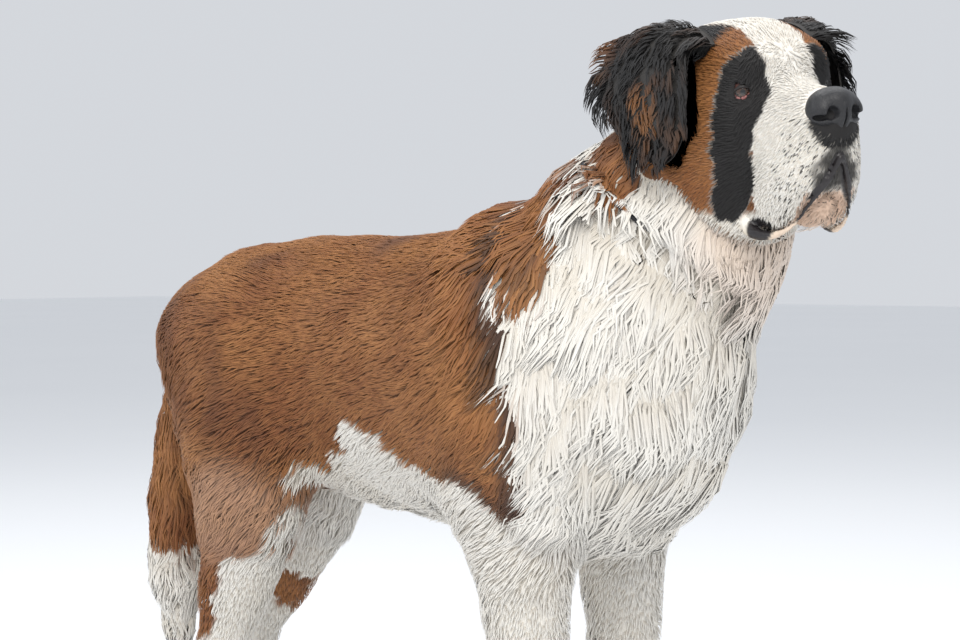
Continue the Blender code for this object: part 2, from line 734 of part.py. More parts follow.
def make_trunk():
    """The trunk, neck and legs as one skin."""
    shape = bmesh.new()
    add_tube(shape, TORSO)
    add_tube(shape, NECK)
    for centre, radii in mirrored(CHEST_MASSES):
        add_mass(shape, centre, radii)
    for rows, sideways, _ in LEGS.values():
        add_tube(shape, rows, sideways)
    add_head_masses(shape, HEAD_MASSES[:1] + HEAD_MASSES[-1:])
    trunk = melt(shape, "torso", TRUNK_VOXEL, 5, TRUNK_TRIANGLES)
    sink_skin(trunk, coat_depth)
    return trunk


def make_head():
    """The head with its neck end, before the eyes, nose and mouth are cut."""
    shape = bmesh.new()
    add_head_masses(shape, HEAD_MASSES)
    add_tube(shape, NECK)
    add_mass(shape, CHEST_MASSES[1][0], CHEST_MASSES[1][1])
    head = melt(shape, "head", HEAD_VOXEL, 4, HEAD_TRIANGLES)
    sink_skin(head, throat_depth)
    return head


def make_jaw():
    """The lower jaw and chin."""
    shape = bmesh.new()
    add_head_masses(shape, JAW_MASSES)
    return melt(shape, "lower_jaw", HEAD_VOXEL, 3, JAW_TRIANGLES)


def make_nose():
    """The leather of the nose."""
    shape = bmesh.new()
    add_head_masses(shape, NOSE_MASSES)
    return melt(shape, "nose", NOSE_VOXEL, 3, NOSE_TRIANGLES)


def bore_nostrils(nose):
    """Sink a nostril on each side, with the slit that runs back from it."""
    for side in (-1.0, 1.0):
        for (ahead, across, up), radii, detail in NOSTRIL_PARTS:
            shape = bmesh.new()
            add_mass(shape, head_point((ahead, across * side, up)), radii, HEAD_TURN, detail)
            cutter = object_from(shape, "bore")
            boolean(nose, cutter, "DIFFERENCE")
            remove(cutter)
    largest_body(nose)


def eye_frame(side, skin):
    """The middle of an eyeball that shows a little over the skin, and the way it looks."""
    look = HEAD_TURN @ Vector((math.cos(EYE_TURN), side * math.sin(EYE_TURN), 0.02)).normalized()
    place = head_point((EYE_PLACE[0], side * EYE_PLACE[1], EYE_PLACE[2]))
    hit, _, _, _ = skin.ray_cast(place + look * 0.1, -look)
    return hit - look * (EYE_RADIUS - EYE_SHOWS), look


def eyeball(centre, radius, name):
    """A ball for an eye, or for its socket."""
    shape = bmesh.new()
    bmesh.ops.create_icosphere(shape, subdivisions=2, radius=radius, matrix=Matrix.Translation(centre))
    return object_from(shape, name)


def lid(centre, look, side, form, name):
    """A lid: a rim that arches over the ball between the two corners of the eye."""
    middle, droop, reach = form
    up = (HEAD_TURN @ Vector((0.0, 0.0, 1.0))).normalized()
    outer = look.cross(up).normalized() * -side
    up = (up - look * up.dot(look)).normalized()
    path, outwards, sizes = [], [], []
    for k in range(9):
        t = -1.0 + k / 4.0
        arch = middle * (1.0 - t * t) + droop * t * (1.0 - t * t) - 0.10 * t
        way = (look + outer * reach * t + up * arch).normalized()
        path.append(centre + way * (EYE_RADIUS + 0.0008))
        outwards.append(way)
        sizes.append(LID_THICKNESS * (1.35 - 0.5 * abs(t)))
    shape = bmesh.new()
    add_blade(shape, path, outwards, sizes, sizes, sides=5)
    return object_from(shape, name)


def set_eyes(head):
    """Sink both eyes in the head, each between its own lids."""
    skin = skin_tree(head)
    eyes = []
    for side, name in ((1.0, "eye_left"), (-1.0, "eye_right")):
        centre, look = eye_frame(side, skin)
        union_all(head, [
            lid(centre, look, side, UPPER_LID, "upper"),
            lid(centre, look, side, LOWER_LID, "lower"),
        ])
        socket = eyeball(centre, EYE_RADIUS + GAP, "socket")
        boolean(head, socket, "DIFFERENCE")
        remove(socket)
        largest_body(head)
        eyes.append(eyeball(centre, EYE_RADIUS, name))
    return eyes


def rim_lips(head):
    """Edge the hanging lips with a rounded rim."""
    skin = skin_tree(head)
    rims = []
    for side in (-1.0, 1.0):
        path, outwards, sizes = [], [], []
        for k, place in enumerate(LIP_EDGE):
            spot = head_point((place[0], side * place[1], place[2]))
            hit, normal, _, _ = skin.find_nearest(spot)
            path.append(hit)
            outwards.append(normal)
            sizes.append(LIP_THICKNESS * (0.7 + 0.6 * math.sin(math.pi * k / (len(LIP_EDGE) - 1))))
        shape = bmesh.new()
        add_blade(shape, path, outwards, sizes, sizes, sides=6)
        rims.append(object_from(shape, "rim"))
    union_all(head, rims)


def make_ear(side, name, chance):
    """A hanging ear: a bent leather with a cup inside, thick at its root and thin at its edge."""
    rows = np.array([[(x, side * y, z) for x, y, z in row] for row in EAR_ROWS])
    across_steps, down_steps = EAR_GRID
    t = np.linspace(0.0, 1.0, across_steps)[:, None]
    bend = [2.0 * (t - 0.5) * (t - 1.0), 4.0 * t * (1.0 - t), 2.0 * t * (t - 0.5)]
    ribs = np.stack([sum(b * row[k] for k, b in enumerate(bend)) for row in rows])
    down = np.linspace(0.0, 1.0, down_steps)
    line = []
    for rib in range(across_steps):
        table = np.concatenate([ribs[:, rib], np.zeros((len(rows), 3))], axis=1)
        smooth = smooth_rows(table, 0.002)[:, :3]
        line.append([smooth[round(v * (len(smooth) - 1))] for v in down])
    grid = np.array(line)
    along = np.gradient(grid, axis=1)
    over = np.gradient(grid, axis=0)
    normal = np.cross(over, along) * side
    normal /= np.linalg.norm(normal, axis=2, keepdims=True)
    edge = np.minimum(np.minimum(t, 1.0 - t) * 5.0, 1.0)
    fall = np.minimum((1.0 - down[None, :]) * 5.0, 1.0)
    thick = EAR_THICKNESS * (0.25 + 0.75 * np.sqrt(edge * fall))[..., None]
    shape = bmesh.new()
    faces_of = []
    for offset in (0.5, -0.5):
        layer = grid + normal * thick * offset
        faces_of.append([[shape.verts.new(head_point(place)) for place in rib] for rib in layer])
    for layer in faces_of:
        for a in range(across_steps - 1):
            for b in range(down_steps - 1):
                quad = (layer[a][b], layer[a + 1][b], layer[a + 1][b + 1])
                shape.faces.new(quad)
                shape.faces.new((layer[a][b], layer[a + 1][b + 1], layer[a][b + 1]))
    top, under = faces_of
    border = [(a, 0) for a in range(across_steps - 1)]
    border += [(across_steps - 1, b) for b in range(down_steps - 1)]
    border += [(a, down_steps - 1) for a in range(across_steps - 1, 0, -1)]
    border += [(0, b) for b in range(down_steps - 1, 0, -1)]
    for first, second in zip(border, border[1:] + border[:1]):
        a, b = first
        c, d = second
        shape.faces.new((top[a][b], top[c][d], under[c][d]))
        shape.faces.new((top[a][b], under[c][d], under[a][b]))
    ear = object_from(shape, name)
    skin = skin_tree(ear)
    locks = []
    for back, low in EAR_LOCKS:
        a, b = round(back * (across_steps - 1)), round(low * (down_steps - 1))
        outward = HEAD_TURN @ Vector(normal[a, b])
        root = head_point(grid[a, b]) + outward * EAR_THICKNESS * 0.2
        down_ear, over_ear = (Vector(way[a, b]).normalized() for way in (along, over))
        lie = HEAD_TURN @ (down_ear + over_ear * (back - 0.4))
        size = (EAR_LOCK_LENGTH * chance.uniform(*LENGTH_SPREAD), EAR_LOCK_WIDTH, EAR_LOCK_RISE)
        locks.append(grow_lock(skin, root, outward, lie, size, 0.85, chance))
    union_all(ear, locks)
    return ear


def make_tail(chance):
    """The tail, hanging low with a slight bend at its end."""
    shape = bmesh.new()
    rows = [(*row[:3], *(reach * TAIL_DEPTH for reach in row[3:])) for row in TAIL]
    add_tube(shape, rows)
    tail = melt(shape, "tail", TAIL_VOXEL, 3, TAIL_TRIANGLES)
    skin = skin_tree(tail)
    table = smooth_rows(TAIL, TAIL_ROW_SPACING)
    locks = []
    for row, (x, y, z, half, _, _) in enumerate(table[1:-1]):
        for _, root, outward in around(skin, (x, y, z), 180.0, 4, 0.5 * (row % 2), slope=0.2):
            length = TAIL_LENGTH * chance.uniform(*LENGTH_SPREAD) * (1.0 if z > 0.26 else 0.75)
            size = (length, TAIL_LOCK_WIDTH, half * (1.0 - TAIL_DEPTH) * 0.95)
            locks.append(grow_lock(skin, root, outward, Vector((0.0, 0.0, -1.0)), size, 0.20, chance))
    union_all(tail, [lock for lock in locks if lock is not None])
    return tail


def make_paw(name, leg, middle):
    """A broad paw with four arched toes, flat where it stands, and its claws."""
    rows, sideways, _ = LEGS[leg]
    shape = bmesh.new()
    add_tube(shape, rows[-5:], sideways)
    length = FOREPAW_HALF if "fore" in leg else HINDPAW_HALF
    add_mass(shape, (middle - 0.008, sideways, 0.034), (length, *PAW_SIZE))
    toes = []
    for k in range(4):
        across = k - 1.5
        ahead = middle + 0.046 - TOE_ARC * across * across
        toes.append((ahead, sideways + across * TOE_SPACING * 0.92, across))
        add_mass(shape, (ahead - 0.008, toes[-1][1], 0.028), TOE_SIZE)
    made = melt(shape, name, PAW_VOXEL, 3, PAW_TRIANGLES)
    claws = []
    for ahead, across, turn in toes:
        shape = bmesh.new()
        start = Vector((ahead + 0.014, across, 0.024))
        bend = [start + Vector(step) for step in CLAW_PATH]
        upwards = [Vector((0.0, 0.0, 1.0))] * 4
        add_blade(shape, bend, upwards, CLAW_WIDTHS, CLAW_HEIGHTS, sides=4)
        claws.append(object_from(shape, "claw"))
    union_all(made, claws)
    return made


def level_sole(paw, leg):
    """Cut the paw flat on the floor and where it meets the leg."""
    _, sideways, middle = LEGS[leg]
    keep = block((middle - 0.2, sideways - 0.15, 0.0), (middle + 0.2, sideways + 0.15, PAW_HEIGHT))
    boolean(paw, keep, "INTERSECT")
    remove(keep)
    largest_body(paw)


def make_collar(skin):
    """A slim round collar that lies in the ruff, following the neck."""
    centre, normal = Vector(COLLAR_PLACE), Vector(COLLAR_NORMAL).normalized()
    first = normal.cross(Vector((0.0, 1.0, 0.0))).normalized()
    second = normal.cross(first)
    curve = bpy.data.curves.new("collar", "CURVE")
    curve.dimensions = "3D"
    curve.bevel_depth = COLLAR_THICKNESS
    curve.bevel_resolution = 0
    spline = curve.splines.new("POLY")
    count = COLLAR_POINTS
    spline.points.add(count - 1)
    for k in range(count):
        way = first * math.cos(math.tau * k / count) + second * math.sin(math.tau * k / count)
        hit, _, _, _ = skin.ray_cast(centre + way * 0.4, -way)
        reach = (hit - centre).length
        spline.points[k].co = (*(centre + way * (reach + COLLAR_STANDS)), 1.0)
    spline.use_cyclic_u = True
    guide = bpy.data.objects.new("guide", curve)
    bpy.context.scene.collection.objects.link(guide)
    graph = bpy.context.evaluated_depsgraph_get()
    mesh = bpy.data.meshes.new_from_object(guide.evaluated_get(graph))
    made = bpy.data.objects.new("collar", mesh)
    bpy.context.scene.collection.objects.link(made)
    bpy.data.objects.remove(guide, do_unlink=True)
    bpy.data.curves.remove(curve)
    return made


def build_dog():
    """Make every part."""
    chance = random.Random(4)
    trunk = make_trunk()
    skin = skin_tree(trunk)
    collar = make_collar(skin)
    union_all(trunk, trunk_locks(skin, chance, skin_tree(collar)))
    head = make_head()
    parts = {}

    rear = slab(HEAD_CUT[0], HEAD_CUT[1])
    grown = swollen(rear, GAP)
    boolean(trunk, grown, "DIFFERENCE")
    remove(grown)
    largest_body(trunk)
    parts["neck"] = part_off(trunk, "neck", slab(*NECK_CUT))

    for leg, (_, sideways, middle) in LEGS.items():
        side = math.copysign(1.0, sideways)
        space = leg_block(side, *(FORELEG_SPACE if "fore" in leg else HINDLEG_SPACE))
        parts[leg] = part_off(trunk, leg, space)
        sole = slab((0.0, 0.0, PAW_HEIGHT + GAP), (0.0, 0.0, 1.0))
        boolean(parts[leg], sole, "INTERSECT")
        remove(sole)
        largest_body(parts[leg])
        paw = leg.replace("leg", "paw")
        parts[paw] = make_paw(paw, leg, middle)
        level_sole(parts[paw], leg)
    largest_body(trunk)
    parts["torso"] = trunk

    tail = make_tail(chance)
    for name in ("torso", "hindleg_left", "hindleg_right"):
        clear_of(tail, parts[name])
    parts["tail"] = tail

    nose = make_nose()
    clear_of(head, nose)
    rim_lips(head)
    eyes = set_eyes(head)
    row = ruff_row(skin_tree(head), THROAT_ROW, chance, 0.25, skin_tree(collar), THROAT_LENGTH)
    union_all(head, [lock for lock in row if lock is not None])
    boolean(head, rear, "INTERSECT")
    remove(rear)
    largest_body(head)
    jaw = make_jaw()
    clear_of(jaw, head)
    clear_of(jaw, parts["neck"])
    bore_nostrils(nose)
    for side, name in ((1.0, "ear_left"), (-1.0, "ear_right")):
        ear = make_ear(side, name, chance)
        clear_of(ear, head, (GAP, GAP * 0.1))
        clear_of(ear, parts["neck"])
        parts[name] = ear
    parts.update({"head": head, "nose": nose, "lower_jaw": jaw, "eye_left": eyes[0], "eye_right": eyes[1]})

    clear_of(parts["neck"], collar)
    parts["collar"] = collar
    return parts


def finish(parts):
    """Name, colour, shade and centre the parts."""
    corners = []
    for name, part in parts.items():
        part.name = name
        part.data.name = name
        colour, roughness = FINISHES[COLOURS.get(name, "white_coat")]
        part.data.materials.clear()
        part.data.materials.append(material(name + "_finish", colour, roughness))
        part.data.shade_smooth()
        part.data.set_sharp_from_angle(angle=SHARP_ANGLE)
        corners += [vert.co for vert in part.data.vertices]
    low = Vector([min(co[k] for co in corners) for k in range(3)])
    high = Vector([max(co[k] for co in corners) for k in range(3)])
    middle = (low + high) / 2.0
    for part in parts.values():
        part.data.transform(Matrix.Translation((-middle.x, -middle.y, 0.0)))


clear_scene()
finish(build_dog())
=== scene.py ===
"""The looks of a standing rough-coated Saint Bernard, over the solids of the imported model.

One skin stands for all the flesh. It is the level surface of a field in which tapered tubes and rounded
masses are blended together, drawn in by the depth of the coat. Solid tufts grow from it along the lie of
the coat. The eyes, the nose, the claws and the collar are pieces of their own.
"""

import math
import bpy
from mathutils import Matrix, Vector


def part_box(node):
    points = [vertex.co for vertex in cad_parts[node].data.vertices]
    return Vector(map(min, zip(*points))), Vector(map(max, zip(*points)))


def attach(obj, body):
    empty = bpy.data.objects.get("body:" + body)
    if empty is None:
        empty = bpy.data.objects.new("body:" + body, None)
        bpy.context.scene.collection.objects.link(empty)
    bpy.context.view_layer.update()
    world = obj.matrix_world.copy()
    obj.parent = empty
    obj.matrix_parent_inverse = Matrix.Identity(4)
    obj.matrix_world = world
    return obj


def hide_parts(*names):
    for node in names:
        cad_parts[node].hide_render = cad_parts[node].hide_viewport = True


bl_info = {
    "name": "Saint Bernard, still model",
    "version": (1, 0, 0),
    "blender": (4, 5, 0),
    "location": "3D View > Sidebar > Dog",
    "description": "Skin, coat, head details, collar and stage of a standing Saint Bernard",
    "category": "Add Mesh",
}

import bpy
import numpy as np
from mathutils import Matrix, Vector

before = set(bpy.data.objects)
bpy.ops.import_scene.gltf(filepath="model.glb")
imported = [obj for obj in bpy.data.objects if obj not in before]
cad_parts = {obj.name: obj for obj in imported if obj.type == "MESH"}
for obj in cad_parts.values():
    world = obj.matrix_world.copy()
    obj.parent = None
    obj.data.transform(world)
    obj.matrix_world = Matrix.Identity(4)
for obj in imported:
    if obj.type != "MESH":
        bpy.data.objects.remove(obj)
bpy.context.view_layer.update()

# The head's place and turn in the dog's own measure, whose zero is on the floor under the trunk.
HEAD_PLACE = np.array((0.454, -0.027, 0.910))
HEAD_TURN = np.array(
    Matrix.Rotation(math.radians(-26.5), 3, "Z")
    @ Matrix.Rotation(math.radians(4.5), 3, "Y")
    @ Matrix.Rotation(math.radians(5.7), 3, "X")
)
CLAW_TIP_X = 0.3405

# Rings along a path: x, y, z, half the width, then the reach over and under the path on the trunk, and
# in front of and behind it on a leg or the tail.
TORSO = (
    (-0.385, 0.0, 0.600, 0.050, 0.045, 0.070),
    (-0.370, 0.0, 0.605, 0.085, 0.070, 0.110),
    (-0.335, 0.0, 0.610, 0.120, 0.100, 0.150),
    (-0.270, 0.0, 0.605, 0.143, 0.138, 0.170),
    (-0.180, 0.0, 0.600, 0.150, 0.158, 0.180),
    (-0.060, 0.0, 0.590, 0.155, 0.170, 0.190),
    (0.050, 0.0, 0.580, 0.170, 0.180, 0.200),
    (0.150, 0.0, 0.575, 0.180, 0.190, 0.205),
    (0.250, 0.0, 0.570, 0.172, 0.165, 0.190),
    (0.330, 0.0, 0.570, 0.130, 0.120, 0.150),
    (0.360, 0.0, 0.575, 0.080, 0.080, 0.100),
)
NECK = (
    (0.140, 0.000, 0.600, 0.160, 0.130, 0.180),
    (0.210, 0.000, 0.665, 0.158, 0.130, 0.190),
    (0.280, 0.000, 0.730, 0.145, 0.118, 0.190),
    (0.345, -0.005, 0.800, 0.130, 0.102, 0.175),
    (0.400, -0.012, 0.860, 0.112, 0.092, 0.130),
)
FORELEG = (
    (0.190, 0.0, 0.520, 0.070, 0.090, 0.100),
    (0.205, 0.0, 0.440, 0.067, 0.085, 0.085),
    (0.215, 0.0, 0.380, 0.062, 0.074, 0.073),
    (0.222, 0.0, 0.320, 0.054, 0.057, 0.066),
    (0.225, 0.0, 0.260, 0.049, 0.050, 0.057),
    (0.228, 0.0, 0.180, 0.043, 0.043, 0.048),
    (0.230, 0.0, 0.130, 0.041, 0.041, 0.043),
    (0.236, 0.0, 0.095, 0.041, 0.040, 0.042),
    (0.246, 0.0, 0.055, 0.042, 0.044, 0.042),
)
HINDLEG_RIGHT = (
    (-0.255, 0.010, 0.620, 0.080, 0.125, 0.115),
    (-0.232, 0.005, 0.540, 0.085, 0.127, 0.118),
    (-0.215, 0.0, 0.460, 0.080, 0.105, 0.102),
    (-0.212, 0.0, 0.420, 0.074, 0.093, 0.090),
    (-0.222, 0.0, 0.360, 0.062, 0.070, 0.072),
    (-0.235, 0.0, 0.300, 0.050, 0.054, 0.056),
    (-0.252, 0.0, 0.240, 0.042, 0.039, 0.045),
    (-0.262, 0.0, 0.200, 0.038, 0.034, 0.042),
    (-0.258, 0.0, 0.150, 0.036, 0.033, 0.035),
    (-0.250, 0.0, 0.095, 0.037, 0.035, 0.035),
    (-0.236, 0.0, 0.055, 0.040, 0.044, 0.040),
)
HINDLEG_LEFT = (
    (-0.275, -0.010, 0.620, 0.080, 0.118, 0.110),
    (-0.272, -0.005, 0.540, 0.085, 0.123, 0.115),
    (-0.272, 0.0, 0.460, 0.080, 0.104, 0.098),
    (-0.278, 0.0, 0.420, 0.074, 0.090, 0.088),
    (-0.300, 0.0, 0.360, 0.062, 0.070, 0.070),
    (-0.330, 0.0, 0.300, 0.050, 0.056, 0.055),
    (-0.362, 0.0, 0.240, 0.042, 0.042, 0.045),
    (-0.392, 0.0, 0.195, 0.038, 0.034, 0.042),
    (-0.398, 0.0, 0.150, 0.036, 0.033, 0.035),
    (-0.400, 0.0, 0.095, 0.037, 0.035, 0.035),
    (-0.386, 0.0, 0.055, 0.040, 0.044, 0.040),
)
TAIL = (
    (-0.320, 0.000, 0.700, 0.032, 0.028, 0.032),
    (-0.358, 0.000, 0.665, 0.036, 0.030, 0.036),
    (-0.398, 0.002, 0.600, 0.040, 0.034, 0.040),
    (-0.430, 0.006, 0.510, 0.046, 0.042, 0.046),
    (-0.450, 0.008, 0.400, 0.049, 0.046, 0.049),
    (-0.456, 0.008, 0.300, 0.048, 0.046, 0.048),
    (-0.452, 0.008, 0.220, 0.038, 0.036, 0.038),
    (-0.445, 0.008, 0.150, 0.012, 0.012, 0.012),
)
# Each leg: its rings, its sideways place, and the middle of its paw along X.
LEGS = (
    (FORELEG, 0.110, 0.262, 0.062),
    (FORELEG, -0.110, 0.262, 0.062),
    (HINDLEG_LEFT, 0.110, -0.365, 0.058),
    (HINDLEG_RIGHT, -0.110, -0.215, 0.058),
)
TOE_SPACING = 0.0235
CLAW_LENGTH = 0.020
# Rounded masses: centre, half sizes and how softly they blend. One off the middle is on both sides.
CHEST_MASSES = (
    ((0.330, 0.000, 0.660), (0.118, 0.130, 0.125), 0.06),
    ((0.416, -0.008, 0.742), (0.102, 0.108, 0.098), 0.05),
    ((0.265, 0.000, 0.535), (0.105, 0.125, 0.155), 0.06),
    ((0.185, 0.100, 0.560), (0.120, 0.072, 0.170), 0.05),
)
# Head masses are measured forward, left and up from the middle of the skull.
HEAD_MASSES = (
    ((0.000, 0.000, 0.000), (0.108, 0.095, 0.087), 0.03),
    ((-0.010, 0.000, -0.070), (0.088, 0.078, 0.065), 0.03),
    ((0.048, 0.000, 0.024), (0.057, 0.070, 0.056), 0.03),
    ((0.068, 0.038, 0.034), (0.032, 0.028, 0.024), 0.02),
    ((0.020, 0.054, -0.035), (0.075, 0.040, 0.070), 0.03),
    ((0.105, 0.000, -0.030), (0.085, 0.046, 0.044), 0.03),
    ((0.150, 0.000, -0.041), (0.038, 0.040, 0.044), 0.02),
    ((0.114, 0.034, -0.086), (0.052, 0.024, 0.066), 0.02),
    ((0.150, 0.018, -0.072), (0.030, 0.024, 0.042), 0.015),
)
JAW_MASSES = (
    ((0.062, 0.000, -0.108), (0.082, 0.036, 0.031), 0.02),
    ((0.134, 0.000, -0.122), (0.031, 0.027, 0.025), 0.015),
)
NOSE_MASSES = (
    ((0.172, 0.000, -0.006), (0.021, 0.027, 0.015), 0.008),
    ((0.180, 0.000, -0.016), (0.018, 0.015, 0.022), 0.008),
    ((0.174, 0.017, -0.017), (0.020, 0.016, 0.017), 0.006),
    ((0.176, 0.000, -0.034), (0.014, 0.008, 0.012), 0.006),
)
NOSTRILS = (
    ((0.194, 0.0150, -0.0180), (0.013, 0.0070, 0.0075)),
    ((0.186, 0.0260, -0.0225), (0.011, 0.0075, 0.0030)),
    ((0.194, 0.0000, -0.0300), (0.006, 0.0010, 0.0180)),
)
LIP_EDGE = (
    (0.070, 0.050, -0.118),
    (0.090, 0.052, -0.145),
    (0.114, 0.045, -0.150),
    (0.145, 0.036, -0.138),
    (0.165, 0.026, -0.112),
    (0.180, 0.012, -0.088),
    (0.186, 0.002, -0.066),
)
LIP_RADII = (0.0026, 0.0072, 0.0050, 0.0024, 0.0026, 0.0030, 0.0030)
EAR_ROWS = (
    ((0.052, 0.064, 0.058), (0.006, 0.064, 0.074), (-0.045, 0.066, 0.054)),
    ((0.050, 0.090, 0.056), (-0.014, 0.102, 0.074), (-0.090, 0.106, 0.054)),
    ((0.056, 0.106, 0.004), (-0.006, 0.120, 0.006), (-0.112, 0.116, 0.014)),
    ((0.050, 0.110, -0.042), (0.006, 0.118, -0.070), (-0.072, 0.119, -0.022)),
)
EAR_THICKNESS = 0.008
EYE_TURN = math.radians(28.0)
COLLAR_PLACE = np.array((0.345, -0.005, 0.790))
CORD_SHOWN_UNDER = 0.795
COLLAR_NORMAL = np.array((0.62, -0.02, 0.78))

# Markings seen from the side, as outlines in x and z on the body, and forward and up on the head.
SADDLE_RIGHT = (
    (0.189, 0.760), (0.202, 0.691), (0.221, 0.618), (0.240, 0.555), (0.248, 0.499), (0.246, 0.431),
    (0.220, 0.415), (0.212, 0.441), (0.140, 0.467), (0.053, 0.490), (-0.015, 0.523), (-0.091, 0.462),
    (-0.119, 0.476), (-0.125, 0.439), (-0.154, 0.388), (-0.182, 0.347), (-0.216, 0.335), (-0.240, 0.278),
    (-0.256, 0.230), (-0.330, 0.190), (-0.400, 0.300), (-0.560, 0.310), (-0.560, 0.900), (0.180, 0.900),
)
SADDLE_LEFT = (
    (0.200, 0.760), (0.190, 0.680), (0.205, 0.600), (0.180, 0.520), (0.150, 0.470), (0.050, 0.485),
    (-0.060, 0.510), (-0.140, 0.470), (-0.200, 0.450), (-0.260, 0.400), (-0.330, 0.370), (-0.400, 0.330),
    (-0.560, 0.310), (-0.560, 0.900), (0.200, 0.900),
)
SHOULDER_PATCH = (
    (0.180, 0.755), (0.205, 0.720), (0.224, 0.680), (0.273, 0.652), (0.258, 0.701), (0.283, 0.754),
    (0.268, 0.815), (0.250, 0.880), (0.150, 0.860),
)
NAPE_PATCH = (
    (0.285, 0.850), (0.310, 0.800), (0.339, 0.792), (0.368, 0.805), (0.400, 0.860), (0.380, 0.930),
    (0.300, 0.910),
)
EYE_PATCH = (
    (0.070, 0.020), (0.084, 0.058), (0.103, 0.054), (0.116, 0.026), (0.110, -0.015), (0.103, -0.040),
    (0.101, -0.099), (0.072, -0.140), (0.056, -0.134), (0.062, -0.087), (0.068, -0.017),
)
SPECKLE_AREA = ((0.148, -0.020), (0.130, -0.095), (0.115, -0.150), (0.150, -0.150), (0.200, -0.080), (0.200, -0.020))

SOLE = 0.0006
LIP_DROP = np.array((0.102, 0.0475, 0.1440))
LIP_DROP_SIZE = np.array((0.019, 0.012, 0.013))

TAU = math.tau
FAR = 1.0
REACH = 0.11


class Measures(bpy.types.PropertyGroup):
    """Sizes of the coat and the small pieces."""

    ruff: bpy.props.FloatProperty(
        name="Ruff depth", description="How far the ruff stands over the skin", default=0.034,
        unit="LENGTH", subtype="DISTANCE")
    body: bpy.props.FloatProperty(
        name="Body depth", description="How far the coat of the trunk stands over the skin", default=0.010,
        unit="LENGTH", subtype="DISTANCE")
    face: bpy.props.FloatProperty(
        name="Face depth", description="How far the short fur of the face stands over the skin",
        default=0.0028, unit="LENGTH", subtype="DISTANCE")
    seed: bpy.props.IntProperty(
        name="Seed", description="Start of the random draws for the tufts", default=11)
    eye_rim: bpy.props.FloatProperty(
        name="Eye rim", description="Thickness of the rim of a lid", default=0.0030,
        unit="LENGTH", subtype="DISTANCE")
    cord: bpy.props.FloatProperty(
        name="Collar radius", description="Radius of the collar's cord", default=0.0040,
        unit="LENGTH", subtype="DISTANCE")


class Colours(bpy.types.PropertyGroup):
    """Colours of the coat, skin and leather."""

    white: bpy.props.FloatVectorProperty(
        name="White", description="The white coat", default=(0.90, 0.87, 0.81), subtype="COLOR", size=3)
    # The cream is partly the white coat's own warm tone and partly painted shade toward the roots of its strands.
    cream: bpy.props.FloatVectorProperty(
        name="Cream", description="The warm tone inside the white coat", default=(0.70, 0.61, 0.47),
        subtype="COLOR", size=3)
    rust: bpy.props.FloatVectorProperty(
        name="Rust", description="The red-brown coat", default=(0.215, 0.068, 0.014), subtype="COLOR", size=3)
    sand: bpy.props.FloatVectorProperty(
        name="Sand", description="The lighter strands of the red-brown coat", default=(0.43, 0.185, 0.055),
        subtype="COLOR", size=3)
    black: bpy.props.FloatVectorProperty(
        name="Black", description="The black coat", default=(0.0075, 0.0062, 0.0060), subtype="COLOR", size=3)
    peach: bpy.props.FloatVectorProperty(
        name="Peach", description="The stained fur of the chin and throat", default=(0.78, 0.53, 0.38),
        subtype="COLOR", size=3)
    lip: bpy.props.FloatVectorProperty(
        name="Lip", description="Bare skin inside the lips and lids", default=(0.36, 0.12, 0.11),
        subtype="COLOR", size=3)
    leather: bpy.props.FloatVectorProperty(
        name="Leather", description="The leather of the nose", default=(0.017, 0.017, 0.020),
        subtype="COLOR", size=3)
    floor: bpy.props.FloatVectorProperty(
        name="Floor", description="The pale floor", default=(0.92, 0.93, 0.94), subtype="COLOR", size=3)


def model_origin():
    """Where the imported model's zero lies in the dog's own measure, read off its forepaws."""
    left, right = (np.array(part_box(name)) for name in ("forepaw_left", "forepaw_right"))
    across = (left[:, 1].mean() + right[:, 1].mean()) / 2.0
    return np.array((CLAW_TIP_X - left[1, 0], -across, 0.0))


ORIGIN = model_origin()
BODY = {}
EYES = []


class Value:
    """A number in a material: Python's operators add the Math nodes."""

    def __init__(self, nodes, socket):
        self.nodes = nodes
        self.socket = socket

    def math(self, operation, *others):
        return self.nodes.value("ShaderNodeMath", {"operation": operation}, {
            k: other for k, other in enumerate((self, *others))})

    def __add__(self, other):
        return self.math("ADD", other)

    def __sub__(self, other):
        return self.math("SUBTRACT", other)

    def __rsub__(self, other):
        return self.nodes.value("ShaderNodeMath", {"operation": "SUBTRACT"}, {0: other, 1: self})

    def __mul__(self, other):
        return self.math("MULTIPLY", other)

    __radd__ = __add__
    __rmul__ = __mul__

    def clamp(self):
        return self.nodes.value("ShaderNodeClamp", {}, {"Value": self})

    def over(self, low, high):
        """Rise smoothly from 0 to 1 as the value goes from low to high."""
        return self.nodes.value("ShaderNodeMapRange", {"interpolation_type": "SMOOTHSTEP"}, {
            "Value": self, "From Min": low, "From Max": high})


